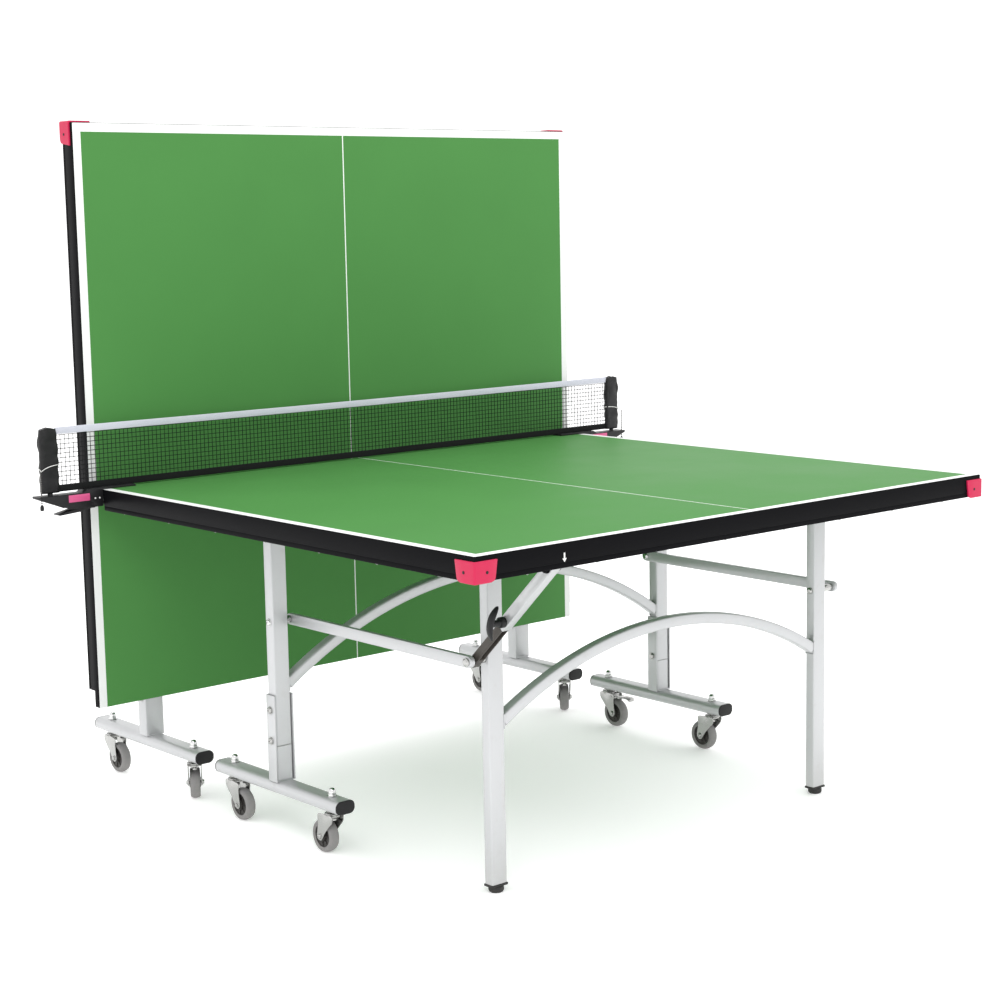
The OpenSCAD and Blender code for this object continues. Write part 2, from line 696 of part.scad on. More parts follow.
// ---------- the net ----------
net_y = -net_setback;
clamp_y0 = net_y - clamp_width / 2 - 1;
clamp_y1 = net_y + clamp_width / 2 - 1;
post_x = clamp_x + net_overhang - sleeve_width / 2;
arm_end = post_x + 35.5;
body_z = under - 16;
chain_x = arm_end - 7;
chain_y = net_y - 13;
module net_cloth() {
  top = surface_height + net_height; low = surface_height + net_low; x = post_x - sleeve_width / 2 - seat_gap;
  color([0.10, 0.10, 0.11]) {
    span([-x, net_y - net_half, low], [x, net_y + net_half, top]);
    both() difference() {
      translate([post_x, net_y, low]) linear_extrude(net_height - net_low - 4)
        intersection() { square([sleeve_width, sleeve_thickness], center = true); circle(d = sleeve_width); }
      translate([post_x, net_y, low - 1]) cylinder(d = post_d + 2 * seat_gap, h = net_height - net_low - 7);
    }
  }
}
net_half = 1.2;
lever_x = clamp_x + 30;
lever_z = under - 8;
module clamps_and_posts() {
  lip = surface_height + 4.5; tip = under + 19;
  color(black) both() {
    difference() {
      union() {
        // plate that lies on the board, and the wedge-shaped cheeks outside it
        span([clamp_x - clamp_reach, clamp_y0, surface_height + seat_gap], [clamp_x + 40, clamp_y1, lip]);
        translate([0, clamp_y1, 0]) rotate([90, 0, 0]) linear_extrude(clamp_width)
          polygon([[clamp_x + 2.5, body_z], [clamp_x + 86, body_z], [arm_end, tip - 5], [arm_end, tip],
                   [clamp_x + 50, tip], [clamp_x + 40, lip], [clamp_x + 2.5, lip]]);
      }
      // hollow between the cheeks, open below
      translate([0, clamp_y1 - 3, 0]) rotate([90, 0, 0]) linear_extrude(clamp_width - 6)
        polygon([[clamp_x + 1, body_z - 1], [clamp_x + 96, body_z - 1], [arm_end - 3, tip - 8],
                 [arm_end - 3, tip - 4], [clamp_x + 48, tip - 4], [clamp_x + 1, surface_height - 6]]);
      translate([lever_x, clamp_y0 - 1, lever_z]) rotate([-90, 0, 0])
        cylinder(d = 6 + 2 * seat_gap, h = clamp_width + 2);
      // hole the tension chain hangs through
      translate([chain_x, chain_y, tip - 6]) cylinder(d = bead_d + 2, h = 8);
      // groove for the net's lower tape
      span([clamp_x - clamp_reach - 1, net_y - net_half - 0.4, surface_height + net_low - seat_gap],
           [clamp_x + 60, net_y + net_half + 0.4, lip + 1]);
    }
    translate([post_x, net_y, tip - 2]) cylinder(d = post_d, h = surface_height + net_height - 7 - tip);
    // pivot pin of the lever
    translate([lever_x, clamp_y0 - 0.6, lever_z]) rotate([-90, 0, 0]) cylinder(d = 6, h = clamp_width + 1.2);
  }
}
// the lower jaw and its squeeze lever, pinned in the clamp
module clamp_lever(s) {
  color(black) scale([s, 1, 1]) difference() {
    union() {
      span([clamp_x - 22, clamp_y0 + 3.5, under - 12], [clamp_x + 34, clamp_y0 + 18, under - 6]);
      span([clamp_x - 22, clamp_y0 + 3.5, under - 8], [clamp_x - 6, clamp_y0 + 18, under - seat_gap]);
      span([clamp_x + 22, clamp_y0 + 3.5, under - 18], [clamp_x + 38, clamp_y1 - 3.5, under - 1]);
      translate([0, clamp_y1 - 3.5, 0]) rotate([90, 0, 0]) linear_extrude(clamp_width - 7)
        polygon([[clamp_x + 30, under - 18], [clamp_x + 60, under - 24], [clamp_x + 113, under - 28],
                 [clamp_x + 114, under - 25.5], [clamp_x + 84, under - 19], [clamp_x + 36, under - 12]]);
    }
    translate([lever_x, clamp_y0 - 1, lever_z]) rotate([-90, 0, 0])
      cylinder(d = 6 + 2 * run_gap, h = clamp_width + 2);
  }
}
module hanging_chains() {
  color(zinc) both() {
    translate([chain_x, chain_y, surface_height - 22]) cylinder(d = bead_d, h = 76);
    translate([chain_x, chain_y, surface_height - 34]) cylinder(d = 9, h = 13);
  }
}

// ---------- the sub-parts ----------
module near_board() { near_at() board(); }
module near_apron() { near_at() apron(); }
module near_guards() { near_at() guards(); }
module near_rails() { near_at() rails(-1); }
module near_upright_frame() { near_at() upright_frame(); }
module near_foot_bars() { near_at() foot_bars(); }
module near_foot_caps() { near_at() foot_caps(); }
module near_frame_bolts() { near_at() frame_bolts(); }
module near_leg_frame() { near_at() leg_frame(); }
module near_leg_inserts() { near_at() leg_inserts(); }
module near_leg_bolts() { near_at() leg_bolts(-1); }
module near_leg_foot_left() { near_at() leg_foot(-1); }
module near_leg_foot_right() { near_at() leg_foot(1); }
module near_links() { near_at() links(); }
module near_strut_tube() { near_at() strut_tube(-1); }
module near_strut_rod() { near_at() strut_rod(-1); }
module near_pull_knob() { near_at() pull_knob(-1); }
module far_board() { far_at() top_folded() board(); }
module far_apron() { far_at() top_folded() apron(); }
module far_guards() { far_at() top_folded() guards(); }
module far_rails() { far_at() top_folded() rails(-1); }
module far_upright_frame() { far_at() upright_frame(); }
module far_foot_bars() { far_at() foot_bars(); }
module far_foot_caps() { far_at() foot_caps(); }
module far_frame_bolts() { far_at() frame_bolts(); }
module far_leg_frame() { far_at() legs_folded() leg_frame(); }
module far_leg_inserts() { far_at() legs_folded() leg_inserts(); }
module far_leg_bolts() { far_at() legs_folded() leg_bolts(-1); }
module far_leg_foot_left() { far_at() legs_folded() leg_foot(1); }
module far_leg_foot_right() { far_at() legs_folded() leg_foot(-1); }
module far_links() { far_at() links_folded() links(); }
module far_strut_tube() { far_at() tube_folded() strut_tube(-1); }
module far_strut_rod() { far_at() rod_folded() strut_rod(-1); }
module far_pull_knob() { far_at() tube_folded() pull_knob(-1); }
bar_y = -pivot_setback;
module near_caster(s, end, a) {
  near_at() caster_at(s * upright_x, bar_y + end * stem_offset, a) children();
}
module far_caster(s, end, a) {
  translate([0, shift + far_edge - 2 * bar_y, 0])
    caster_at(s * upright_x, bar_y + end * stem_offset, a) children();
}
module fork_near_left_end() { near_caster(-1, -1, 0) fork(); }
module fork_near_left_net() { near_caster(-1, 1, 180) fork(); }
module fork_near_right_end() { near_caster(1, -1, 0) fork(); }
module fork_near_right_net() { near_caster(1, 1, 180) fork(brake = true); }
module fork_far_left_net() { far_caster(-1, -1, -32) fork(); }
module fork_far_left_end() { far_caster(-1, 1, 180) fork(); }
module fork_far_right_net() { far_caster(1, -1, -40) fork(); }
module fork_far_right_end() { far_caster(1, 1, 180) fork(brake = true); }
module wheel_near_left_end() { near_caster(-1, -1, 0) wheel(); }
module wheel_near_left_net() { near_caster(-1, 1, 180) wheel(); }
module wheel_near_right_end() { near_caster(1, -1, 0) wheel(); }
module wheel_near_right_net() { near_caster(1, 1, 180) wheel(); }
module wheel_far_left_net() { far_caster(-1, -1, -32) wheel(); }
module wheel_far_left_end() { far_caster(-1, 1, 180) wheel(); }
module wheel_far_right_net() { far_caster(1, -1, -40) wheel(); }
module wheel_far_right_end() { far_caster(1, 1, 180) wheel(); }
module brake_near_right_net() { near_caster(1, 1, 180) brake(); }
module brake_far_right_end() { far_caster(1, 1, 180) brake(); }
module net() { near_at() net_cloth(); }
module net_posts() { near_at() clamps_and_posts(); }
module clamp_lever_left() { near_at() clamp_lever(-1); }
module clamp_lever_right() { near_at() clamp_lever(1); }
module tension_chains() { near_at() hanging_chains(); }

near_board();
near_apron();
near_guards();
near_rails();
near_upright_frame();
near_foot_bars();
near_foot_caps();
near_frame_bolts();
near_leg_frame();
near_leg_inserts();
near_leg_bolts();
near_leg_foot_left();
near_leg_foot_right();
near_links();
near_strut_tube();
near_strut_rod();
near_pull_knob();
far_board();
far_apron();
far_guards();
far_rails();
far_upright_frame();
far_foot_bars();
far_foot_caps();
far_frame_bolts();
far_leg_frame();
far_leg_inserts();
far_leg_bolts();
far_leg_foot_left();
far_leg_foot_right();
far_links();
far_strut_tube();
far_strut_rod();
far_pull_knob();
fork_near_left_end();
fork_near_left_net();
fork_near_right_end();
fork_near_right_net();
fork_far_left_net();
fork_far_left_end();
fork_far_right_net();
fork_far_right_end();
wheel_near_left_end();
wheel_near_left_net();
wheel_near_right_end();
wheel_near_right_net();
wheel_far_left_net();
wheel_far_left_end();
wheel_far_right_net();
wheel_far_right_end();
brake_near_right_net();
brake_far_right_end();
net();
net_posts();
clamp_lever_left();
clamp_lever_right();
tension_chains();
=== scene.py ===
"""Looks for the wheeled folding table: materials, finished pieces, light and camera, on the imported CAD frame."""

import math

import bmesh
import bpy
from mathutils import Matrix, Vector, noise


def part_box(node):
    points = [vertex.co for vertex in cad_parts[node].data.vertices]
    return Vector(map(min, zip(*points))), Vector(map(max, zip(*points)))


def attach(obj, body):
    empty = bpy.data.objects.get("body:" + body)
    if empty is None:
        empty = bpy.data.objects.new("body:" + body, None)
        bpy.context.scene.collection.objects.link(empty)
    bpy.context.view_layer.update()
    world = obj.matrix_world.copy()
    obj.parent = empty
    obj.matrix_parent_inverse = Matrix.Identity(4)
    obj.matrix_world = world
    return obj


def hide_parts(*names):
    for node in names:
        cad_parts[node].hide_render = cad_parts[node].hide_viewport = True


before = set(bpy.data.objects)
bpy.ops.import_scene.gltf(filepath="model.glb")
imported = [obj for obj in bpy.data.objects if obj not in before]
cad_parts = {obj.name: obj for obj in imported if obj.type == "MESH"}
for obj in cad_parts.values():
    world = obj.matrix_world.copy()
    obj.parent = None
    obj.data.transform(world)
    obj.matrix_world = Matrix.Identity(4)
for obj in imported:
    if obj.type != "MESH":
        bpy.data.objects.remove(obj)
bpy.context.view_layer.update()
scene = bpy.context.scene

# ---------- sizes shared with the CAD, in metres ----------
TOP_W, HALF_L, TOP_Z, BOARD_T = 1.525, 1.370, 0.760, 0.022
UNDER = TOP_Z - BOARD_T
PIVOT_Y, PIVOT_Z, LOW_Z, LINK_L = -0.490, 0.718, 0.490, 0.615
LEG_Y = PIVOT_Y - LINK_L
LEG_X, UP_X = 0.500, 0.600
FAR_EDGE = 0.016 - 0.438
STEM, TRAIL = 0.190, 0.028
WHEEL_R = 0.0375
NET_Y = -0.020
UPRIGHT_W, UPRIGHT_D = 0.040, 0.030
LEG_W, LEG_D = 0.040, 0.025
BAR_W, BAR_H, BAR_Z, BAR_HALF = 0.050, 0.030, 0.115, 0.235
ARCH_D = 0.025
FRAME_ARCH_R, FRAME_ARCH_TOP = 1.030, 0.540
LEG_ARCH_R, LEG_ARCH_TOP = 0.950, 0.500
BRAKE_Y, BRAKE_Z = TRAIL - 0.003, 0.0835
APRON_H = 0.028
LINE_W, CENTRE_W = 0.020, 0.003
LOOP_R = 0.0009
ARROW_X, ARROW_Z = -0.542, 0.730
CAD_CREASE = 28  # degrees: the edges sharper than this are softened
POST_X = 0.889
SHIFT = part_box("near_board")[1].y
STRUT_X = 0.541
STRUT_FZ = 0.706
STRUT_FY = LEG_Y - math.sqrt(0.228**2 - 0.012**2)

# ---------- camera, as the table stands in view ----------
AZ, EL, ROLL = math.radians(-40.74), math.radians(8.15), math.radians(-1.05)
look = Vector((-math.sin(AZ) * math.cos(EL), math.cos(AZ) * math.cos(EL), -math.sin(EL)))
side = look.cross(Vector((0, 0, 1))).normalized()
up = side.cross(look)
right = math.cos(ROLL) * side + math.sin(ROLL) * up
above = -math.sin(ROLL) * side + math.cos(ROLL) * up
cam_data = bpy.data.cameras.new("camera")
cam_data.lens, cam_data.sensor_width = 71.0, 36.0
cam_data.clip_end = 60
cam = bpy.data.objects.new("camera", cam_data)
turn = Matrix((right, above, -look)).transposed().to_4x4()
cam.matrix_world = Matrix.Translation((-3.020, -4.065 + SHIFT, 1.366)) @ turn
scene.collection.objects.link(cam)
scene.camera = cam


# ---------- places ----------
def at(x=0.0, y=0.0, z=0.0):
    return Matrix.Translation((x, y, z))


def spin(deg, axis):
    return Matrix.Rotation(math.radians(deg), 4, axis)


def turned(y0, z0, y1, z1, deg):
    return at(0, y1, z1) @ spin(-deg, "X") @ at(0, -y0, -z0)


NEAR = at(0, SHIFT, 0)
FAR = at(0, SHIFT + FAR_EDGE, 0) @ spin(180, "Z")
FOLD = turned(PIVOT_Y, PIVOT_Z, PIVOT_Y, PIVOT_Z, 90)
LIFT = at(0, LINK_L, LINK_L)
SWING = turned(PIVOT_Y, LOW_Z, PIVOT_Y, LOW_Z, 90)
TUBE_FOLD = turned(STRUT_FY, STRUT_FZ, PIVOT_Y + STRUT_FZ - PIVOT_Z, PIVOT_Z + PIVOT_Y - STRUT_FY, 45)
ROD_FOLD = turned(LEG_Y, LOW_Z, LEG_Y + LINK_L, LOW_Z + LINK_L, 45)
PLACE = {
    "near": {k: NEAR for k in ("base", "top", "legs", "links", "strut_tube", "strut_rod", "pull_knob")},
    "far": {
        "base": FAR, "top": FAR @ FOLD, "legs": FAR @ LIFT, "links": FAR @ SWING,
        "strut_tube": FAR @ TUBE_FOLD, "strut_rod": FAR @ ROD_FOLD, "pull_knob": FAR @ TUBE_FOLD,
    },
}


# ---------- shader helpers ----------
def group(name, inputs, outputs):
    """A shader node group with named sockets: (name, kind, default)."""
    g = bpy.data.node_groups.new(name, "ShaderNodeTree")
    for n, kind, val in inputs:
        s = g.interface.new_socket(name=n, in_out="INPUT", socket_type="NodeSocket" + kind)
        if val is not None:
            s.default_value = val
    for n, kind in outputs:
        g.interface.new_socket(name=n, in_out="OUTPUT", socket_type="NodeSocket" + kind)
    return g, g.nodes.new("NodeGroupInput"), g.nodes.new("NodeGroupOutput")


def node(tree, kind, links=(), **props):
    """Adds a node; links is {input: socket or value}."""
    n = tree.nodes.new(kind)
    for k, v in props.items():
        setattr(n, k, v)
    for k, v in dict(links).items():
        s = n.inputs[k]
        if isinstance(v, bpy.types.NodeSocket):
            tree.links.new(v, s)
        else:
            s.default_value = v
    return n


def math_node(tree, op, a, b=None, clamp=False):
    n = node(tree, "ShaderNodeMath", {0: a}, operation=op, use_clamp=clamp)
    if b is not None:
        if isinstance(b, bpy.types.NodeSocket):
            tree.links.new(b, n.inputs[1])
        else:
            n.inputs[1].default_value = b
    return n.outputs[0]


def mix_colour(tree, fac, a, b):
    n = tree.nodes.new("ShaderNodeMix")
    n.data_type = "RGBA"
    for s, v in ((n.inputs[0], fac), (n.inputs[6], a), (n.inputs[7], b)):
        if isinstance(v, bpy.types.NodeSocket):
            tree.links.new(v, s)
        else:
            s.default_value = v
    return n.outputs[2]


def powder_group():
    """Orange-peel bump of sprayed or moulded skins, with slow drifts of colour and gloss."""
    g, i, o = group(
        "Skin grain",
        [("Vector", "Vector", None), ("Colour", "Color", (0.8, 0.8, 0.8, 1)), ("Scale", "Float", 900.0),
         ("Depth", "Float", 0.1), ("Drift", "Float", 0.06), ("Roughness", "Float", 0.4)],
        [("Colour", "Color"), ("Roughness", "Float"), ("Normal", "Vector")],
    )
    fine = node(g, "ShaderNodeTexNoise", {"Vector": i.outputs[0], "Scale": i.outputs[2], "Detail": 2.0})
    slow = node(g, "ShaderNodeTexNoise", {"Vector": i.outputs[0], "Scale": 5.0, "Detail": 3.0})
    bump = node(g, "ShaderNodeBump", {"Strength": i.outputs[3], "Distance": 0.0006, "Height": fine.outputs[0]})
    lift = math_node(g, "MULTIPLY", math_node(g, "SUBTRACT", slow.outputs[0], 0.5), i.outputs[4])
    hsv = node(g, "ShaderNodeHueSaturation", {"Value": math_node(g, "ADD", lift, 1.0), "Color": i.outputs[1]})
    g.links.new(hsv.outputs[0], o.inputs[0])
    g.links.new(math_node(g, "ADD", math_node(g, "MULTIPLY", lift, 1.5), i.outputs[5], clamp=True), o.inputs[1])
    g.links.new(bump.outputs[0], o.inputs[2])
    return g


def scuff_group():
    """A mask of faint handling marks and rolled-on dust, heavier near the floor."""
    g, i, o = group(
        "Scuffs and dust",
        [("Vector", "Vector", None), ("Amount", "Float", 0.3), ("Floor height", "Float", 0.12)],
        [("Scuffs", "Float"), ("Dust", "Float")],
    )
    a = node(g, "ShaderNodeTexNoise", {"Vector": i.outputs[0], "Scale": 38.0, "Detail": 6.0, "Roughness": 0.7})
    ramp = node(g, "ShaderNodeMapRange", {0: a.outputs[0], 1: 0.56, 2: 0.74, 3: 0.0, 4: 1.0})
    g.links.new(math_node(g, "MULTIPLY", ramp.outputs[0], i.outputs[1]), o.inputs[0])
    z = node(g, "ShaderNodeSeparateXYZ", {0: i.outputs[0]}).outputs[2]
    low = math_node(g, "SUBTRACT", 1.0, math_node(g, "DIVIDE", z, i.outputs[2]), clamp=True)
    b = node(g, "ShaderNodeTexNoise", {"Vector": i.outputs[0], "Scale": 120.0, "Detail": 4.0})
    g.links.new(math_node(g, "MULTIPLY", math_node(g, "MULTIPLY", low, b.outputs[0]), i.outputs[1]), o.inputs[1])
    return g


def weave_group():
    """Crossing threads on the piece's own UV map, counted in threads per metre."""
    g, i, o = group(
        "Plain weave",
        [("Vector", "Vector", None), ("Threads", "Float", 1200.0), ("Depth", "Float", 0.5)],
        [("Height", "Float"), ("Normal", "Vector")],
    )
    sep = node(g, "ShaderNodeSeparateXYZ", {0: i.outputs[0]})
    u = math_node(g, "SINE", math_node(g, "MULTIPLY", sep.outputs[0], i.outputs[1]))
    v = math_node(g, "SINE", math_node(g, "MULTIPLY", sep.outputs[1], i.outputs[1]))
    h = math_node(g, "ADD", math_node(g, "MULTIPLY", math_node(g, "MULTIPLY", u, v), 0.5), 0.5)
    bump = node(g, "ShaderNodeBump", {"Strength": i.outputs[2], "Distance": 0.0008, "Height": h})
    g.links.new(h, o.inputs[0])
    g.links.new(bump.outputs[0], o.inputs[1])
    return g


SKIN, SCUFFS, WEAVE = powder_group(), scuff_group(), weave_group()


def skin(name, colour, rough, metal=0.0, scale=900.0, depth=0.12, drift=0.08, scuff=0.0, scuff_colour=None,
         dust=0.0, coat=0.0, spec=0.5):
    """A sprayed, moulded or plated skin with grain, drift, scuffs and dust."""
    m = bpy.data.materials.new(name)
    m.use_nodes = True
    t = m.node_tree
    bsdf = t.nodes["Principled BSDF"]
    co = t.nodes.new("ShaderNodeTexCoord").outputs["Object"]
    grain = node(t, "ShaderNodeGroup", node_tree=SKIN)
    t.links.new(co, grain.inputs[0])
    for k, v in (("Colour", (*colour, 1)), ("Scale", scale), ("Depth", depth), ("Drift", drift),
                 ("Roughness", rough)):
        grain.inputs[k].default_value = v
    col, rgh = grain.outputs[0], grain.outputs[1]
    if scuff or dust:
        marks = node(t, "ShaderNodeGroup", node_tree=SCUFFS)
        t.links.new(co, marks.inputs[0])
        marks.inputs["Amount"].default_value = max(scuff, dust)
        if scuff:
            worn = scuff_colour or tuple(min(1, c * 1.5 + 0.05) for c in colour)
            col = mix_colour(t, marks.outputs[0], col, (*worn, 1))
            rgh = math_node(t, "ADD", rgh, math_node(t, "MULTIPLY", marks.outputs[0], 0.25), clamp=True)
        if dust:
            col = mix_colour(t, marks.outputs[1], col, (0.42, 0.39, 0.35, 1))
    t.links.new(col, bsdf.inputs["Base Color"])
    t.links.new(rgh, bsdf.inputs["Roughness"])
    t.links.new(grain.outputs[2], bsdf.inputs["Normal"])
    bsdf.inputs["Metallic"].default_value = metal
    bsdf.inputs["Coat Weight"].default_value = coat
    bsdf.inputs["Coat Roughness"].default_value = 0.12
    bsdf.inputs["Specular IOR Level"].default_value = spec
    return m


def cloth(name, colour, threads, depth, rough=0.8, sheen=0.3, spec=0.3):
    """Woven cloth whose threads follow the piece's UV map, laid out in metres, with painted shade darkening the
    hollows between threads.
    """
    m = bpy.data.materials.new(name)
    m.use_nodes = True
    t = m.node_tree
    bsdf = t.nodes["Principled BSDF"]
    uv = node(t, "ShaderNodeUVMap", uv_map="cut").outputs[0]
    w = node(t, "ShaderNodeGroup", node_tree=WEAVE)
    t.links.new(uv, w.inputs[0])
    w.inputs["Threads"].default_value = threads * math.tau / 2
    w.inputs["Depth"].default_value = depth
    # painted shade: the colour falls to 72 % where the weave height is low, in the hollows between threads
    low = tuple(c * 0.72 for c in colour)
    t.links.new(mix_colour(t, w.outputs[0], (*low, 1), (*colour, 1)), bsdf.inputs["Base Color"])
    t.links.new(w.outputs[1], bsdf.inputs["Normal"])
    bsdf.inputs["Roughness"].default_value = rough
    bsdf.inputs["Sheen Weight"].default_value = sheen
    bsdf.inputs["Specular IOR Level"].default_value = spec
    return m


def court_material():
    """Matte textured green with white side and end lines and a fine centre line, on the UV map in metres."""
    m = bpy.data.materials.new("Playing surface paint")
    m.use_nodes = True
    t = m.node_tree
    bsdf = t.nodes["Principled BSDF"]
    uv = node(t, "ShaderNodeUVMap", uv_map="court").outputs[0]
    sep = node(t, "ShaderNodeSeparateXYZ", {0: uv})
    across = math_node(t, "ABSOLUTE", sep.outputs[0])
    side_line = math_node(t, "GREATER_THAN", across, TOP_W / 2 - LINE_W)
    end_line = math_node(t, "GREATER_THAN", sep.outputs[1], HALF_L - LINE_W)
    centre = math_node(t, "LESS_THAN", across, CENTRE_W / 2)
    lines = math_node(t, "MAXIMUM", math_node(t, "MAXIMUM", side_line, end_line), centre)
    grain = node(t, "ShaderNodeGroup", node_tree=SKIN)
    t.links.new(t.nodes.new("ShaderNodeTexCoord").outputs["Object"], grain.inputs[0])
    for k, v in (("Colour", (0.062, 0.200, 0.052, 1)), ("Scale", 1500.0), ("Depth", 0.10), ("Drift", 0.10),
                 ("Roughness", 0.52)):
        grain.inputs[k].default_value = v
    t.links.new(mix_colour(t, lines, grain.outputs[0], (0.70, 0.71, 0.70, 1)), bsdf.inputs["Base Color"])
    t.links.new(math_node(t, "SUBTRACT", grain.outputs[1], math_node(t, "MULTIPLY", lines, 0.06)),
                bsdf.inputs["Roughness"])
    t.links.new(grain.outputs[2], bsdf.inputs["Normal"])
    bsdf.inputs["Specular IOR Level"].default_value = 0.06
    return m


MAT = {
    "court": court_material(),
    "edge": skin("Black edge band", (0.004, 0.004, 0.0045), 0.45, scale=700, depth=0.1, scuff=0.02, spec=0.02),
    "apron": skin("Black apron powder coat", (0.0042, 0.0042, 0.0050), 0.42, scale=1100, depth=0.16, scuff=0.02,
                  spec=0.03),
    "under": skin("Sealed board underside", (0.035, 0.13, 0.04), 0.62, scale=260, depth=0.2, drift=0.2, spec=0.2),
    "steel": skin("Silver white powder coat", (0.49, 0.495, 0.505), 0.34, metal=0.35, scale=1300, depth=0.10,
                  drift=0.05,
                  scuff=0.10, scuff_colour=(0.42, 0.41, 0.40), dust=0.35, coat=0.12),
    "zinc": skin("Bright zinc plate", (0.42, 0.42, 0.41), 0.22, metal=1.0, scale=240, depth=0.06, drift=0.22,
                 scuff=0.15,
                 scuff_colour=(0.36, 0.34, 0.31)),
    "chrome": skin("Polished dome nut", (0.62, 0.62, 0.62), 0.10, metal=1.0, scale=60, depth=0.01, drift=0.04),
    "pink": skin("Pink moulded plastic", (0.48, 0.013, 0.064), 0.36, scale=800, depth=0.08, drift=0.05, spec=0.25),
    "black": skin("Black moulded plastic", (0.010, 0.010, 0.011), 0.42, scale=900, depth=0.16, scuff=0.06, dust=0.1,
                  spec=0.25),
    "rod": skin("Dark grey strut channel", (0.060, 0.053, 0.047), 0.44, metal=0.2, scale=500, depth=0.12, drift=0.2,
                scuff=0.2, spec=0.3),
    "tyre": skin("Grey tyre rubber", (0.19, 0.188, 0.19), 0.60, scale=420, depth=0.22, drift=0.14, scuff=0.25,
                 scuff_colour=(0.34, 0.33, 0.31), dust=0.4, spec=0.25),
    "hub": skin("Black wheel hub", (0.010, 0.009, 0.009), 0.40, scale=600, depth=0.14, dust=0.15, spec=0.25),
    "white": skin("White print", (0.68, 0.68, 0.67), 0.45, scale=900, depth=0.05),
    "label": skin("Plain pink label", (0.50, 0.07, 0.19), 0.38, scale=500, depth=0.03),
    "cord_white": skin("White loop cord", (0.64, 0.64, 0.62), 0.7, scale=1500, depth=0.5),
    "bead": skin("Dark nickel beads", (0.16, 0.155, 0.15), 0.25, metal=1.0, scale=300, depth=0.03),
    "net": skin("Black net cord", (0.007, 0.008, 0.008), 0.75, scale=2400, depth=0.4, spec=0.15),
    "tape": cloth("White tape", (0.60, 0.61, 0.69), 1100, 0.5, sheen=0.1),
    "band": cloth("Black lower tape", (0.008, 0.009, 0.009), 1100, 0.5, sheen=0.0, spec=0.15),
    "sleeve": cloth("Black sleeve cloth", (0.0040, 0.0040, 0.0048), 1300, 0.4, rough=0.33, sheen=0.0, spec=0.32),
}


# ---------- mesh helpers ----------
def piece(name, bm, mats, body, place=None, cad=(), smooth=38, outward=True):
    """Turns a bmesh into an object that rides on a body and stands for the named CAD nodes."""
    if outward:
        bmesh.ops.remove_doubles(bm, verts=bm.verts, dist=1e-6)
        bmesh.ops.recalc_face_normals(bm, faces=bm.faces)
    if place is not None:
        bm.transform(place)
    me = bpy.data.meshes.new(name)
    bm.to_mesh(me)
    bm.free()
    for m in mats if isinstance(mats, (list, tuple)) else [mats]:
        me.materials.append(m)
    me.polygons.foreach_set("use_smooth", [True] * len(me.polygons))
    me.set_sharp_from_angle(angle=math.radians(smooth))
    ob = bpy.data.objects.new(name, me)
    scene.collection.objects.link(ob)
    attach(ob, body)
    if cad:
        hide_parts(*cad)
    return ob


def part(bm, other, place=None, mat=0):
    """Adds another bmesh to bm, with its faces on material slot mat, or on their own where mat is None."""
    if place is not None:
        other.transform(place)
    if mat is not None:
        for f in other.faces:
            f.material_index = mat
    me = bpy.data.meshes.new("t")
    other.to_mesh(me)
    other.free()
    bm.from_mesh(me)
    bpy.data.meshes.remove(me)


def round_section(w, h, r, n=4):
    """A rounded rectangle as (u, v) points, anticlockwise."""
    pts = []
    for cx, cy, a0 in ((w / 2 - r, h / 2 - r, 0), (-w / 2 + r, h / 2 - r, 90), (-w / 2 + r, -h / 2 + r, 180),
                       (w / 2 - r, -h / 2 + r, 270)):
        for k in range(n + 1):
            a = math.radians(a0 + 90 * k / n)
            pts.append((cx + r * math.cos(a), cy + r * math.sin(a)))
    return pts


def loft(rings, closed=False):
    """A skin over rings of points, capped at both ends or closed into a ring."""
    bm = bmesh.new()
    vs = [[bm.verts.new(p) for p in ring] for ring in rings]
    n = len(vs[0])
    pairs = list(zip(vs, vs[1:])) + ([(vs[-1], vs[0])] if closed else [])
    for a, b in pairs:
        for k in range(n):
            bm.faces.new((a[k], a[(k + 1) % n], b[(k + 1) % n], b[k]))
    if not closed:
        bm.faces.new(vs[0][::-1])
        bm.faces.new(vs[-1])
    return bm


def lathe(profile, seg=40, closed=True):
    """A turned shape about Z from (r, z) points; a closed profile makes a ring."""
    bm = bmesh.new()
    rings = []
    for k in range(seg):
        a = math.tau * k / seg
        rings.append([bm.verts.new((r * math.cos(a), r * math.sin(a), z)) for r, z in profile])
    n = len(profile)
    for k in range(seg):
        p, q = rings[k], rings[(k + 1) % seg]
        for j in range(n if closed else n - 1):
            a, b = j, (j + 1) % n
            vs = [p[a], q[a], q[b], p[b]]
            if profile[a][0] < 1e-7:
                vs = [p[a], q[b], p[b]]
            elif profile[b][0] < 1e-7:
                vs = [p[a], q[a], p[b]]
            if profile[a][0] < 1e-7 and profile[b][0] < 1e-7:
                continue
            bm.faces.new(vs)
    bmesh.ops.remove_doubles(bm, verts=bm.verts, dist=1e-7)
    return bm


def block(a, b, r, seg=2):
    """A box between two corners with rounded edges."""
    bm = bmesh.new()
    bmesh.ops.create_cube(bm, size=1)
    a, b = Vector(a), Vector(b)
    for v in bm.verts:
        v.co = Vector(((a.x + b.x) / 2 + v.co.x * (b.x - a.x), (a.y + b.y) / 2 + v.co.y * (b.y - a.y),
                       (a.z + b.z) / 2 + v.co.z * (b.z - a.z)))
    bmesh.ops.bevel(bm, geom=bm.edges[:], offset=r, segments=seg, profile=0.5, affect="EDGES")
    return bm


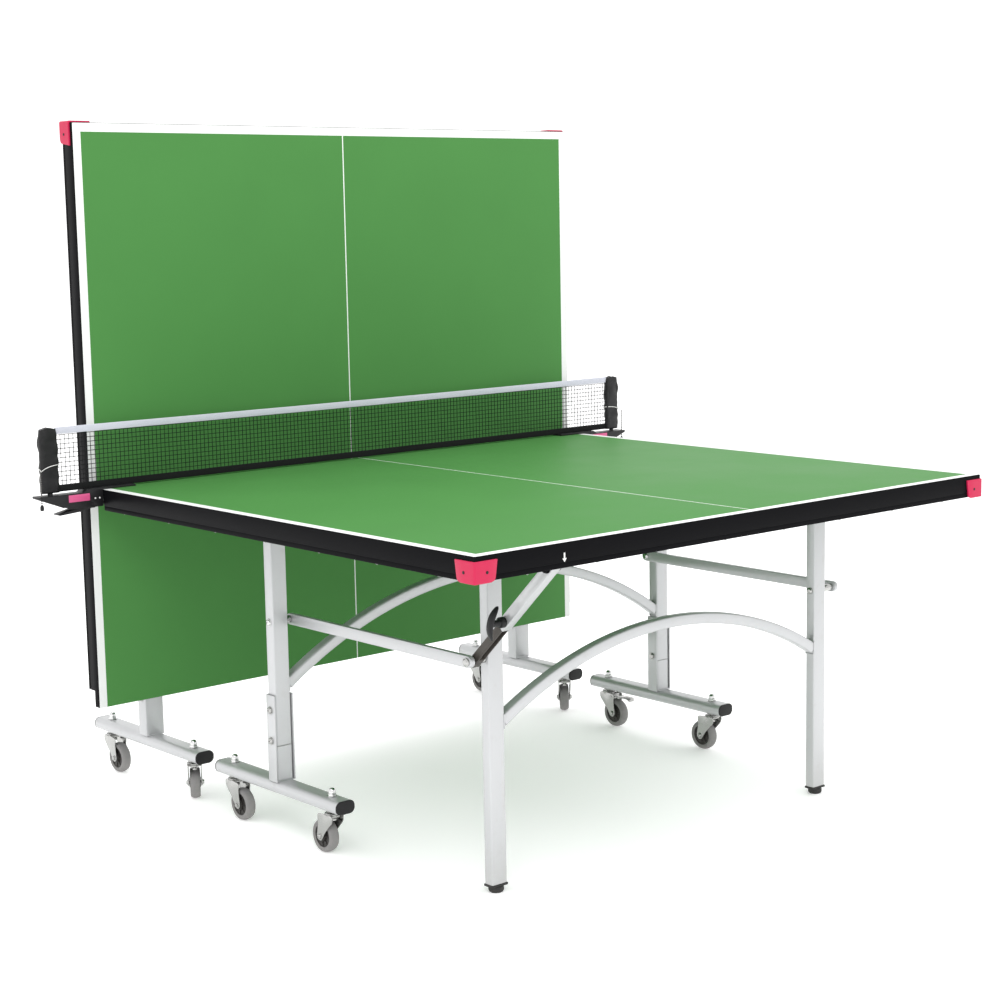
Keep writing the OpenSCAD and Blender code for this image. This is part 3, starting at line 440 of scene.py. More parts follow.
def prism(outline, thick, r):
    """A plate in XY with rounded rims, from z = 0 up."""
    bm = bmesh.new()
    low = [bm.verts.new((x, y, 0)) for x, y in outline]
    f = bm.faces.new(low)
    out = bmesh.ops.extrude_face_region(bm, geom=[f])
    for v in out["geom"]:
        if isinstance(v, bmesh.types.BMVert):
            v.co.z += thick
    bmesh.ops.recalc_face_normals(bm, faces=bm.faces)
    rims = [e for e in bm.edges if abs(e.verts[0].co.z - e.verts[1].co.z) < 1e-7]
    bmesh.ops.bevel(bm, geom=rims, offset=r, segments=2, profile=0.5, affect="EDGES")
    return bm


def smooth_outline(points, n=6):
    """A closed curve through points, Catmull-Rom."""
    out, c = [], len(points)
    for i in range(c):
        p0, p1, p2, p3 = (Vector(points[(i + k) % c]) for k in (-1, 0, 1, 2))
        for k in range(n):
            t = k / n
            square, cube = 2 * p0 - 5 * p1 + 4 * p2 - p3, 3 * p1 - p0 - 3 * p2 + p3
            out.append(0.5 * ((2 * p1) + (p2 - p0) * t + square * t * t + cube * t**3))
    return [(p.x, p.y) for p in out]


def from_cad(name, bevel, seg=2):
    """A merged copy of a CAD node with its flat faces joined and its sharp edges softened."""
    bm = bmesh.new()
    bm.from_mesh(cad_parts[name].data)
    for layer in list(bm.loops.layers.uv):
        bm.loops.layers.uv.remove(layer)
    bmesh.ops.remove_doubles(bm, verts=bm.verts, dist=2e-6)
    bmesh.ops.dissolve_limit(bm, angle_limit=math.radians(0.6), verts=bm.verts, edges=bm.edges)
    sharp = math.radians(CAD_CREASE)
    rims = [e for e in bm.edges if len(e.link_faces) == 2 and e.calc_face_angle(0) > sharp]
    bmesh.ops.bevel(bm, geom=rims, offset=bevel, segments=seg, profile=0.5, affect="EDGES", clamp_overlap=True)
    for f in bm.faces:
        f.material_index = 0
    return bm


def hexagon(r, z):
    """Six corners at radius r and height z."""
    return [(r * math.cos(math.tau * k / 6), r * math.sin(math.tau * k / 6), z) for k in range(6)]


def tube_ring(centre, u, v, r, n):
    """n points at radius r round a centre, in the plane of u and v."""
    return [Vector(centre) + r * (math.cos(math.tau * j / n) * u + math.sin(math.tau * j / n) * v) for j in range(n)]


def weld(points, r):
    """A low weld bead along a line of points."""
    rings = []
    for k, p in enumerate(points):
        d = (Vector(points[min(k + 1, len(points) - 1)]) - Vector(points[max(k - 1, 0)])).normalized()
        u = d.orthogonal().normalized()
        v = d.cross(u)
        rr = r * (1 + 0.18 * math.sin(k * 2.4))
        rings.append(tube_ring(p, u, v, rr, 6))
    return loft(rings)


# ---------- geometry node trees ----------
def geo_tree(name, sockets):
    t = bpy.data.node_groups.new(name, "GeometryNodeTree")
    t.interface.new_socket(name="Geometry", in_out="INPUT", socket_type="NodeSocketGeometry")
    for n, kind, val in sockets:
        s = t.interface.new_socket(name=n, in_out="INPUT", socket_type="NodeSocket" + kind)
        if val is not None:
            s.default_value = val
    t.interface.new_socket(name="Geometry", in_out="OUTPUT", socket_type="NodeSocketGeometry")
    return t, t.nodes.new("NodeGroupInput"), t.nodes.new("NodeGroupOutput")


def end_tree(t, out, geometry, material):
    """Every tree ends in Realize Instances and Set Material."""
    real = node(t, "GeometryNodeRealizeInstances", {0: geometry})
    sm = node(t, "GeometryNodeSetMaterial", {0: real.outputs[0], "Material": material})
    t.links.new(sm.outputs[0], out.inputs[0])


def grown(name, tree, values, base=None):
    """Runs a tree on a mesh and gives back a plain mesh object."""
    me = base or bpy.data.meshes.new(name)
    ob = bpy.data.objects.new(name + "_source", me)
    scene.collection.objects.link(ob)
    mod = ob.modifiers.new("grow", "NODES")
    mod.node_group = tree
    for item in tree.interface.items_tree:
        if item.item_type == "SOCKET" and item.in_out == "INPUT" and item.name in values:
            mod[item.identifier] = values[item.name]
    bpy.context.view_layer.update()
    deps = bpy.context.evaluated_depsgraph_get()
    done = bpy.data.meshes.new_from_object(ob.evaluated_get(deps), depsgraph=deps)
    done.name = name
    bpy.data.objects.remove(ob)
    out = bpy.data.objects.new(name, done)
    scene.collection.objects.link(out)
    return out


def net_tree():
    """Square net: a grid's edges as thin cords."""
    t, i, o = geo_tree("Net mesh", [
        ("Width", "Float", 1.73), ("Height", "Float", 0.12), ("Cells across", "Int", 150), ("Cells up", "Int", 11),
        ("Cord radius", "Float", 0.0005), ("Lowest", "Float", 0.78), ("Y", "Float", 0.0), ("Sway", "Float", 0.0012),
        ("Cord", "Material", None)])
    g = node(t, "GeometryNodeMeshGrid", {"Size X": i.outputs["Width"], "Size Y": i.outputs["Height"],
                                         "Vertices X": math_node(t, "ADD", i.outputs["Cells across"], 1.0),
                                         "Vertices Y": math_node(t, "ADD", i.outputs["Cells up"], 1.0)})
    turn_up = node(t, "GeometryNodeTransform", {"Geometry": g.outputs[0], "Rotation": (math.pi / 2, 0, 0)})
    half = node(t, "ShaderNodeMath", {0: i.outputs["Height"], 1: 0.5, 2: i.outputs["Lowest"]},
                operation="MULTIPLY_ADD")
    place = node(t, "ShaderNodeCombineXYZ", {1: i.outputs["Y"], 2: half.outputs[0]})
    moved = node(t, "GeometryNodeTransform", {"Geometry": turn_up.outputs[0], "Translation": place.outputs[0]})
    wav = node(t, "ShaderNodeTexNoise", {"Scale": 9.0, "Detail": 2.0})
    shift = node(t, "ShaderNodeVectorMath", {0: wav.outputs["Color"], 1: (0.5, 0.5, 0.5)}, operation="SUBTRACT")
    sway = node(t, "ShaderNodeVectorMath", {0: shift.outputs[0], "Scale": i.outputs["Sway"]}, operation="SCALE")
    hung = node(t, "GeometryNodeSetPosition", {"Geometry": moved.outputs[0], "Offset": sway.outputs[0]})
    line = node(t, "GeometryNodeMeshToCurve", {0: hung.outputs[0]})
    ring = node(t, "GeometryNodeCurvePrimitiveCircle", {"Resolution": 4, "Radius": i.outputs["Cord radius"]})
    tube = node(t, "GeometryNodeCurveToMesh", {"Curve": line.outputs[0], "Profile Curve": ring.outputs[0],
                                               "Fill Caps": True})
    end_tree(t, o, tube.outputs[0], i.outputs["Cord"])
    return t


def bead_tree():
    """Beads threaded on a fine cord, one at each point of the source mesh's edge line."""
    t, i, o = geo_tree("Bead chain", [("Bead radius", "Float", 0.002), ("Pitch", "Float", 0.0052),
                                      ("Wire radius", "Float", 0.0006), ("Bead", "Material", None)])
    line = node(t, "GeometryNodeMeshToCurve", {0: i.outputs[0]})
    pts = node(t, "GeometryNodeResampleCurve", {"Curve": line.outputs[0], "Length": i.outputs["Pitch"]},
               mode="LENGTH")
    ball = node(t, "GeometryNodeMeshUVSphere", {"Segments": 10, "Rings": 6, "Radius": i.outputs["Bead radius"]})
    to_pts = node(t, "GeometryNodeCurveToPoints", {"Curve": pts.outputs[0]}, mode="EVALUATED")
    beads = node(t, "GeometryNodeInstanceOnPoints", {"Points": to_pts.outputs[0], "Instance": ball.outputs[0]})
    ring = node(t, "GeometryNodeCurvePrimitiveCircle", {"Resolution": 6, "Radius": i.outputs["Wire radius"]})
    wire = node(t, "GeometryNodeCurveToMesh", {"Curve": line.outputs[0], "Profile Curve": ring.outputs[0],
                                               "Fill Caps": True})
    both = t.nodes.new("GeometryNodeJoinGeometry")
    t.links.new(beads.outputs[0], both.inputs[0])
    t.links.new(wire.outputs[0], both.inputs[0])
    end_tree(t, o, both.outputs[0], i.outputs["Bead"])
    return t


NET_TREE, BEAD_TREE = net_tree(), bead_tree()


def screws(name, seats, body, place, radius, height):
    """Screw heads at (point, outward direction) seats."""
    bm = bmesh.new()
    for p, d in seats:
        p, d = Vector(p), Vector(d).normalized()
        u = d.orthogonal().normalized() * 1e-4
        v = d.cross(u)
        a, b, c = (bm.verts.new(q) for q in (p + u, p - u * 0.5 + v * 0.86, p - u * 0.5 - v * 0.86))
        f = bm.faces.new((a, b, c))
        f.normal_update()
        if f.normal.dot(d) < 0:
            f.normal_flip()
    me = bpy.data.meshes.new(name)
    bm.to_mesh(me)
    bm.free()
    # one point a seat: the face centres
    t, i, o = geo_tree("Seats of " + name, [("Head radius", "Float", radius), ("Head height", "Float", height),
                                        ("Recess radius", "Float", radius * 0.45), ("Screw", "Material", None)])
    mid = node(t, "GeometryNodeMeshToPoints", {0: i.outputs[0]}, mode="FACES")
    facing = node(t, "FunctionNodeAlignRotationToVector", {"Vector": node(t, "GeometryNodeInputNormal").outputs[0]},
                  axis="Z")
    kept = node(t, "GeometryNodeCaptureAttribute", {"Geometry": i.outputs[0]}, domain="FACE")
    head = node(t, "GeometryNodeMeshCone", {"Vertices": 14, "Radius Top": i.outputs["Recess radius"],
                                            "Radius Bottom": i.outputs["Head radius"],
                                            "Depth": i.outputs["Head height"]})
    kept.capture_items.new("ROTATION", "Facing")
    t.links.new(facing.outputs[0], kept.inputs["Facing"])
    t.links.new(kept.outputs[0], mid.inputs[0])
    seats_n = node(t, "GeometryNodeInstanceOnPoints", {"Points": mid.outputs[0], "Instance": head.outputs[0],
                                                       "Rotation": kept.outputs["Facing"]})
    end_tree(t, o, seats_n.outputs[0], i.outputs["Screw"])
    ob = grown(name, t, {"Head radius": radius, "Head height": height, "Recess radius": radius * 0.45,
                         "Screw": MAT["zinc"]}, me)
    ob.data.transform(place)
    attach(ob, body)


# ---------- the two halves ----------
def board_mesh():
    """Board with a softened rim and the court laid out in metres on its UV map."""
    w = TOP_W / 2
    bm = block((-w, -HALF_L, UNDER), (w, 0, TOP_Z), r=0.0012, seg=3)
    uv = bm.loops.layers.uv.new("court")
    for f in bm.faces:
        n = f.normal
        f.material_index = 0 if n.z > 0.7 else (2 if n.z < -0.7 else 1)
        for l in f.loops:
            l[uv].uv = (l.vert.co.x, -l.vert.co.y)
    return bm


def apron_mesh():
    """Folded sheet apron with a soft outer bend, a rolled crease near its foot, and its flange."""
    z1, z0, w = UNDER - 0.0003, UNDER - APRON_H, TOP_W / 2
    y0, y1 = -HALF_L, -0.040
    # section: (inset from the board's edge, height), its lip over the edge first, then down the inner wall
    section = [(-0.0010, TOP_Z - 0.0018), (-0.0007, TOP_Z - 0.0010), (-0.0001, TOP_Z - 0.0010), (-0.0001, z1),
               (0.0016, z1), (0.002, z1 - 0.0004), (0.002, z0 + 0.0028),
               (0.0028, z0 + 0.002), (0.0116, z0 + 0.002), (0.012, z0 + 0.0016), (0.012, z0 + 0.0004), (0.0116, z0),
               (0.0024, z0), (0.0011, z0 + 0.0004), (0.0003, z0 + 0.0012), (0.0, z0 + 0.0026),
               (0.0, z0 + 0.0100), (0.0004, z0 + 0.0106), (0.0002, z0 + 0.0112), (-0.0010, z0 + 0.0124)]
    rings = []
    for x, y, nx, ny in ((-w, y1, 1, 0), (-w, y0, 1, 1), (w, y0, -1, 1), (w, y1, -1, 0)):
        rings.append([(x + nx * d, y + ny * d, z) for d, z in section])
    return loft(rings)


def guard_mesh(s):
    """Corner guard: two tapered cheeks with rounded feet round one corner."""
    bm = bmesh.new()
    w, y = TOP_W / 2 + 0.0003, -HALF_L - 0.0003
    z1 = TOP_Z - 0.010
    z0 = z1 - 0.042
    # half outline of a cheek: distance along the side and height
    rows = 14
    cheek = []
    for k in range(rows + 1):
        f = k / rows
        z = z0 + (z1 - z0) * f
        drop = 0.009
        reach = 0.0455 + 0.0062 * f
        if z - z0 < drop:
            a = (z - z0) / drop
            reach -= drop * (1 - math.sqrt(max(0.0, 1 - (1 - a) ** 2)))
        cheek.append((reach, z))
    t = 0.0048

    def path(reach, out):
        # along the end edge, round the corner, along the side edge
        r = 0.0042 if out else 0.0008
        o = t if out else 0.0
        cx, cy = w + o - r, y - o + r
        pts = [(w - reach, y - o)]
        pts += [(w - reach * 0.55, y - o), (w - reach * 0.2, y - o)]
        for k in range(7):
            a = math.radians(-90 + 15 * k)
            pts.append((cx + r * math.cos(a), cy + r * math.sin(a)))
        pts += [(w + o, y + reach * 0.2), (w + o, y + reach * 0.55), (w + o, y + reach)]
        return pts

    outer = [[(p[0], p[1], z) for p in path(r, True)] for r, z in cheek]
    inner = [[(p[0], p[1], z) for p in path(r, False)] for r, z in cheek]
    vo = [[bm.verts.new(p) for p in row] for row in outer]
    vi = [[bm.verts.new(p) for p in row] for row in inner]
    for k in range(rows):
        for j in range(len(vo[0]) - 1):
            bm.faces.new((vo[k][j], vo[k][j + 1], vo[k + 1][j + 1], vo[k + 1][j]))
            bm.faces.new((vi[k][j], vi[k + 1][j], vi[k + 1][j + 1], vi[k][j + 1]))
        for j in (0, -1):
            bm.faces.new((vo[k][j], vo[k + 1][j], vi[k + 1][j], vi[k][j]))
    for k in (0, -1):
        for j in range(len(vo[0]) - 1):
            bm.faces.new((vo[k][j], vi[k][j], vi[k][j + 1], vo[k][j + 1]))
    bmesh.ops.recalc_face_normals(bm, faces=bm.faces)
    sharp = [e for e in bm.edges if e.calc_face_angle(0) > math.radians(50)]
    bmesh.ops.bevel(bm, geom=sharp, offset=0.0009, segments=2, profile=0.5, affect="EDGES", clamp_overlap=True)
    # screws, one to a cheek
    zc = (z0 + z1) / 2 - 0.001
    for place in (at(w - 0.026, y - t - 0.0002, zc) @ spin(90, "X"),
                  at(w + t + 0.0002, y + 0.026, zc) @ spin(90, "Y")):
        part(bm, lathe([(0.0, 0.0008), (0.0016, 0.0009), (0.0030, 0.0004), (0.0033, -0.0006), (0.0, -0.0006)], 18,
                       closed=False), place, 1)
    if s < 0:
        bm.transform(Matrix.Diagonal((-1, 1, 1, 1)))
        bmesh.ops.reverse_faces(bm, faces=bm.faces)
    return bm


def upright_tube(x, y, w, d, z0, z1, r=0.0035, dome=True):
    """Square tube standing up, softly rounded corners, its top turned over the pivot."""
    rings = []
    zs = [z0, z0 + 0.0006] + ([z1 - d * 0.5, z1 - d * 0.36, z1 - d * 0.22, z1 - d * 0.10, z1 - d * 0.03,
                               z1] if dome else [z1 - 0.0006, z1])
    for k, z in enumerate(zs):
        dd = d
        if dome and k >= 2:
            h = z - (z1 - d / 2)
            dd = max(0.0, (d / 2) ** 2 - h * h) ** 0.5 * 2
            dd = max(dd, d * 0.18)
        if (k == 0) or (not dome and k == len(zs) - 1):
            ring = round_section(w - 0.001, d - 0.001, r)
        else:
            ring = round_section(w, dd, min(r, dd * 0.42))
        rings.append([(x + u, y + v, z) for u, v in ring])
    return loft(rings)


def arch_tube(radius, top, y, size, half, depth):
    """Bent square tube between the two uprights."""
    r, n = 0.0042, 64
    mid, cz = radius - size / 2, top - radius
    a1 = math.asin(half / mid)
    rings = []
    for k in range(n + 1):
        a = -a1 + 2 * a1 * k / n
        c = Vector((mid * math.sin(a), y, cz + mid * math.cos(a)))
        out = Vector((math.sin(a), 0, math.cos(a)))
        rings.append([c + out * v + Vector((0, u, 0)) for u, v in round_section(depth, size, r, 3)])
    return loft(rings)


def head(bm, x, y, z, d, h, way, mat, hexed=False):
    """Bolt head with a washer, facing +X or -X; the washer and head each have a soft rim."""
    place = at(x, y, z) @ spin(90 * way, "Y")
    part(bm, lathe([(0, 0), (d * 0.5, 0), (d * 0.5, h * 0.18), (d * 0.47, h * 0.28), (0, h * 0.28)], 28,
                   closed=False), place, mat)
    if hexed:
        rings = [hexagon(q * d * 0.40, zz) for q, zz in ((1, h * 0.25), (1, h * 0.85), (0.9, h))]
        part(bm, loft(rings), place, mat)
    else:
        part(bm, lathe([(0, h * 0.2), (d * 0.40, h * 0.2), (d * 0.40, h * 0.5), (d * 0.34, h * 0.8),
                        (d * 0.2, h * 0.97), (d * 0.12, h),
                        (d * 0.10, h * 0.7), (0, h * 0.7)], 28, closed=False), place, mat)


def rod(bm, x0, x1, y, z, d):
    """Round bar along X."""
    h, r, c = x1 - x0, d / 2, min(0.0004, d / 8)
    part(bm, lathe([(0, 0), (r - c, 0), (r, c), (r, h - c), (r - c, h), (0, h)], 24, closed=False),
         at(x0, y, z) @ spin(90, "Y"), 0)


def names(h):
    """The places of one half's bodies, and what gives a short name its half."""
    return PLACE[h], lambda k: f"{h}_{k}"


def add_board(h):
    """The board and what is fixed under it."""
    p, b = names(h)
    piece(b("table_board"), board_mesh(), [MAT["court"], MAT["edge"], MAT["under"]], b("top"), p["top"], [b("board")],
          smooth=50)
    piece(b("apron_frame"), apron_mesh(), MAT["apron"], b("top"), p["top"], [b("apron")], smooth=50)
    bm = guard_mesh(1)
    part(bm, guard_mesh(-1), None, None)
    piece(b("corner_guards"), bm, [MAT["pink"], MAT["black"]], b("top"), p["top"], [b("guards")], smooth=45,
          outward=False)
    piece(b("under_rails"), from_cad(b("rails"), 0.0006), MAT["apron"], b("top"), None, [b("rails")])


def add_wheeled_frame(h):
    """Upright frame, foot bars with their sockets and stubs, and the bars' end caps."""
    (p, b), y = names(h), PIVOT_Y
    bm = bmesh.new()
    for s in (-1, 1):
        part(bm, upright_tube(s * UP_X, y, UPRIGHT_W, UPRIGHT_D, 0.211, PIVOT_Z + 0.015))
    part(bm, arch_tube(FRAME_ARCH_R, FRAME_ARCH_TOP, y, ARCH_D, UP_X - 0.0205, ARCH_D))
    for s in (-1, 1):
        part(bm, arch_welds(s, FRAME_ARCH_R, FRAME_ARCH_TOP, y, ARCH_D, UP_X - 0.020))
    piece(b("wheeled_frame"), bm, MAT["steel"], b("base"), p["base"], [b("upright_frame")], outward=False)
    bm = bmesh.new()
    for s in (-1, 1):
        x = s * UP_X
        rings = []
        for yy, sc in ((-BAR_HALF, 0.0), (-0.2344, 1.0), (0.2344, 1.0), (BAR_HALF, 0.0)):
            q = 0.0006 * (1 - sc)
            rings.append([(x + u, y + yy, BAR_Z + v) for u,
                          v in round_section(BAR_W - 2 * q, BAR_H - 2 * q, 0.0132 - q, 7)])
        part(bm, loft(rings))
        part(bm, socket(x, y))
        part(bm, upright_tube(x, y, UPRIGHT_W, UPRIGHT_D, 0.1295, 0.2100, dome=False))
        for yy in (-0.017, 0.017):
            part(bm, weld([(x - 0.020 + 0.004 * k, y + yy, 0.1305) for k in range(11)], 0.0017))
    piece(b("foot_rails"), bm, MAT["steel"], b("base"), p["base"], [b("foot_bars")], outward=False)
    bm = bmesh.new()
    for s in (-1, 1):
        for e in (-1, 1):
            rings = []
            for d, q in ((-0.010, 0.0025), (0.0, 0.0025), (0.0002, 0.0), (0.0019, 0.0), (0.0027, 0.0013),
                         (0.0030, 0.0032)):
                rings.append([(s * UP_X + u, y + e * (0.2353 + d), BAR_Z + v) for u,
                              v in round_section(BAR_W - 2 * q, BAR_H - 2 * q, 0.0133 - q * 0.6, 7)])
            part(bm, loft(rings))
    piece(b("foot_end_caps"), bm, MAT["black"], b("base"), p["base"], [b("foot_caps")])


def add_frame_fasteners(h):
    """Caster stems with their nuts, and the bolts through the uprights."""
    (p, b), y = names(h), PIVOT_Y
    bm = bmesh.new()
    for s in (-1, 1):
        for e in (-1, 1):
            c = at(s * UP_X, y + e * STEM, 0)
            part(bm, lathe([(0, 0.081), (0.005, 0.081), (0.005, 0.134), (0, 0.134)], 20, closed=False), c, 0)
            part(bm, lathe([(0.005, 0.0972), (0.0124, 0.0972), (0.0130, 0.0978), (0.0130, 0.0990), (0.0124, 0.0996),
                            (0.005, 0.0996)], 32), c, 0)
            part(bm, lathe([(0.005, 0.0774), (0.0086, 0.0774), (0.009, 0.0779), (0.009, 0.0812), (0.0086, 0.0818),
                            (0.005, 0.0818)], 28), c, 0)
            part(bm, lathe([(0.005, 0.1303), (0.0106, 0.1303), (0.011, 0.1307), (0.011, 0.1315), (0.0106, 0.1319),
                            (0.005, 0.1319)], 32), c, 1)
            hexa = [hexagon(q * 0.0098, z) for q, z in ((0.94, 0.1318), (1, 0.1324), (1, 0.1364), (0.93, 0.1370))]
            part(bm, loft(hexa), c, 1)
            part(bm, lathe([(0.0, 0.1365), (0.0080, 0.1365), (0.0083, 0.1390), (0.0083, 0.1420), (0.0075, 0.1452),
                            (0.0058, 0.1477), (0.0034, 0.1492), (0.0, 0.1497)], 24, closed=False), c, 1)
    for s in (-1, 1):
        for z in (0.222, 0.292):
            rod(bm, s * UP_X - 0.026, s * UP_X + 0.026, y, z, 0.008)
            head(bm, s * UP_X + 0.0253, y, z, 0.018, 0.006, 1, 0, hexed=s < 0)
            head(bm, s * UP_X - 0.0253, y, z, 0.018, 0.006, -1, 0, hexed=s > 0)
        rod(bm, s * UP_X - 0.027, s * UP_X + 0.027, y, PIVOT_Z, 0.010)
        head(bm, s * UP_X + 0.0245, y, PIVOT_Z, 0.018, 0.005, 1, 0)
        head(bm, s * UP_X - 0.0245, y, PIVOT_Z, 0.018, 0.005, -1, 0)
        inner, outer = (0.552, 0.622) if s > 0 else (-0.622, -0.552)
        rod(bm, inner, outer, y, LOW_Z, 0.010)
        head(bm, s * (UP_X + 0.0203), y, LOW_Z, 0.018, 0.006, s, 1)
        head(bm, s * 0.5535, y, LOW_Z, 0.018, 0.005, -s, 1, hexed=True)
        a, c = sorted((s * 0.5665, s * 0.5797))
        rod(bm, a, c, y, LOW_Z, 0.018)
    piece(b("frame_fasteners"), bm, [MAT["zinc"], MAT["chrome"]], b("base"), p["base"], [b("frame_bolts")])


def add_legs(h):
    """Leg frame, its plugs and bolts, and the levelling feet."""
    p, b = names(h)
    bm = bmesh.new()
    for s in (-1, 1):
        part(bm, upright_tube(s * LEG_X, LEG_Y, LEG_W, LEG_D, 0.018, PIVOT_Z + 0.0125, r=0.0032))
    part(bm, arch_tube(LEG_ARCH_R, LEG_ARCH_TOP, LEG_Y, ARCH_D, LEG_X - 0.0205, 0.0244))
    for s in (-1, 1):
        part(bm, arch_welds(s, LEG_ARCH_R, LEG_ARCH_TOP, LEG_Y, 0.0244, LEG_X - 0.020))
    piece(b("end_leg_frame"), bm, MAT["steel"], b("legs"), p["legs"], [b("leg_frame")], outward=False)
    piece(b("leg_plugs"), from_cad(b("leg_inserts"), 0.0008), MAT["black"], b("legs"), None, [b("leg_inserts")])
    piece(b("leg_fasteners"), from_cad(b("leg_bolts"), 0.0005), MAT["zinc"], b("legs"), None, [b("leg_bolts")])
    for n, s in (("left", -1), ("right", 1)):
        s2 = s if h == "near" else -s
        bm = bmesh.new()
        prof = [(0, 0), (0.0132, 0), (0.0142, 0.0006), (0.0148, 0.0020), (0.0158, 0.0030), (0.0160, 0.0042),
                (0.0160, 0.0108),
                (0.0154, 0.0122), (0.0140, 0.0125), (0.0045, 0.0125), (0.0040, 0.0130), (0.0040, 0.0415),
                (0.0035, 0.0420), (0, 0.0420)]
        part(bm, lathe(prof, 36, closed=False), at(s2 * LEG_X, LEG_Y, 0))
        for k in range(18):
            a = math.tau * k / 18
            part(bm, block((-0.0006, -0.0009, 0.0045), (0.0004, 0.0009, 0.0105), 0.0003),
                 at(s2 * LEG_X, LEG_Y, 0) @ spin(math.degrees(a), "Z") @ at(0.0159, 0, 0))
        piece(b("levelling_foot_" + n), bm, MAT["black"], b("foot_" + n), p["legs"], [b("leg_foot_" + n)],
              outward=False)


def add_links(h):
    """The two link bars."""
    p, b = names(h)
    bm = bmesh.new()
    for s in (-1, 1):
        part(bm, link_mesh(), at(s * 0.560, 0, LOW_Z))
    piece(b("link_bars"), bm, MAT["steel"], b("links"), p["links"], [b("links")], outward=False)


def add_strut(h):
    """The telescopic strut and its pull."""
    p, b = names(h)
    piece(b("strut_outer"), from_cad(b("strut_tube"), 0.0007, 3), MAT["steel"], b("strut_tube"), None,
          [b("strut_tube")])
    piece(b("strut_inner"), from_cad(b("strut_rod"), 0.0005), MAT["rod"], b("strut_rod"), None, [b("strut_rod")])
    lean = math.degrees(math.atan2(LEG_Y - STRUT_FY, STRUT_FZ - LOW_Z))
    now = math.hypot(LEG_Y - STRUT_FY, STRUT_FZ - LOW_Z)
    place = at(0, LEG_Y, LOW_Z) @ spin(lean, "X") @ at(-STRUT_X, 0, now - 0.195 + 0.018)
    piece(b("crescent_pull"), pull_mesh(), MAT["black"], b("pull_knob"), p["pull_knob"] @ place, [b("pull_knob")],
          outward=False)


def add_screws(h):
    """Screws that hold the rails, the brackets and the apron up to the board."""
    (p, b), y, w = names(h), PIVOT_Y, TOP_W / 2
    under = []
    for s in (-1, 1):
        for k in range(7):
            under.append(((s * 0.655, -0.09 - 0.2 * k, UNDER - 0.0196), (0, 0, -1)))
        for yy in (-0.032, 0.032):
            under.append(((s * UP_X, y + yy, UNDER - 0.0030), (0, 0, -1)))
    for k in range(5):
        under.append(((-0.42 + 0.21 * k, LEG_Y - 0.044, UNDER - 0.0196), (0, 0, -1)))
    screws(b("rail_screws"), under, b("top"), p["top"], 0.0042, 0.0018)
    flange = []
    for s in (-1, 1):
        for k in range(7):
            flange.append(((s * (w - 0.0065), -0.12 - 0.19 * k, UNDER - 0.0282), (0, 0, -1)))
    for k in range(8):
        flange.append(((-0.63 + 0.18 * k, -HALF_L + 0.0065, UNDER - 0.0282), (0, 0, -1)))
    screws(b("apron_screws"), flange, b("top"), p["top"], 0.0036, 0.0016)


def arch_welds(s, radius, top, y, size, x):
    """Weld beads where the bent tube meets the upright."""
    bm = bmesh.new()
    cz = top - radius
    outer = cz + math.sqrt(radius**2 - x**2)
    inner = cz + math.sqrt((radius - ARCH_D) ** 2 - x**2)
    pts = [(s * x, y + v * size / 2, z) for v, z in
           [(-1, inner), (-1, (inner + outer) / 2), (-1, outer), (-0.5, outer + 0.0005), (0, outer + 0.0005),
            (0.5, outer + 0.0005), (1, outer),
            (1, (inner + outer) / 2), (1, inner), (0.5, inner - 0.0005), (0, inner - 0.0005), (-0.5, inner - 0.0005),
            (-1, inner)]]
    fine = []
    for a, c in zip(pts, pts[1:]):
        for k in range(3):
            fine.append(Vector(a).lerp(Vector(c), k / 3))
    part(bm, weld(fine, 0.0019))
    return bm


def socket(x, y):
    """Channel welded on the foot bar, open towards the end of the table, that takes the upright."""
    w, d, t = 0.025, 0.017, 0.003
    back = y + 0.0153
    outline = [(x - w, y - d), (x - w + t, y - d), (x - w + t, back), (x + w - t, back), (x + w - t, y - d),
               (x + w, y - d),
               (x + w, y + d - 0.003), (x + w - 0.0009, y + d - 0.0009), (x + w - 0.003, y + d),
               (x - w + 0.003, y + d), (x - w + 0.0009, y + d - 0.0009), (x - w, y + d - 0.003)]
    bm = prism(outline, 0.326 - 0.1285, 0.0005)
    bm.transform(at(0, 0, 0.1285))
    return bm


def link_mesh():
    """Flat link bar with rounded ends, as a plate seen from the side."""
    pts = []
    r = 0.0130
    for cy, a0 in ((PIVOT_Y, -90), (LEG_Y, 90)):
        for k in range(13):
            a = math.radians(a0 + 15 * k)
            pts.append((cy + r * math.cos(a), r * math.sin(a) * 0.5 / 0.52))
    bm = prism(pts, 0.012, 0.0018)
    bm.transform(Matrix(((0, 0, 1, -0.006), (1, 0, 0, 0), (0, 1, 0, 0), (0, 0, 0, 1))))
    bmesh.ops.recalc_face_normals(bm, faces=bm.faces)
    return bm


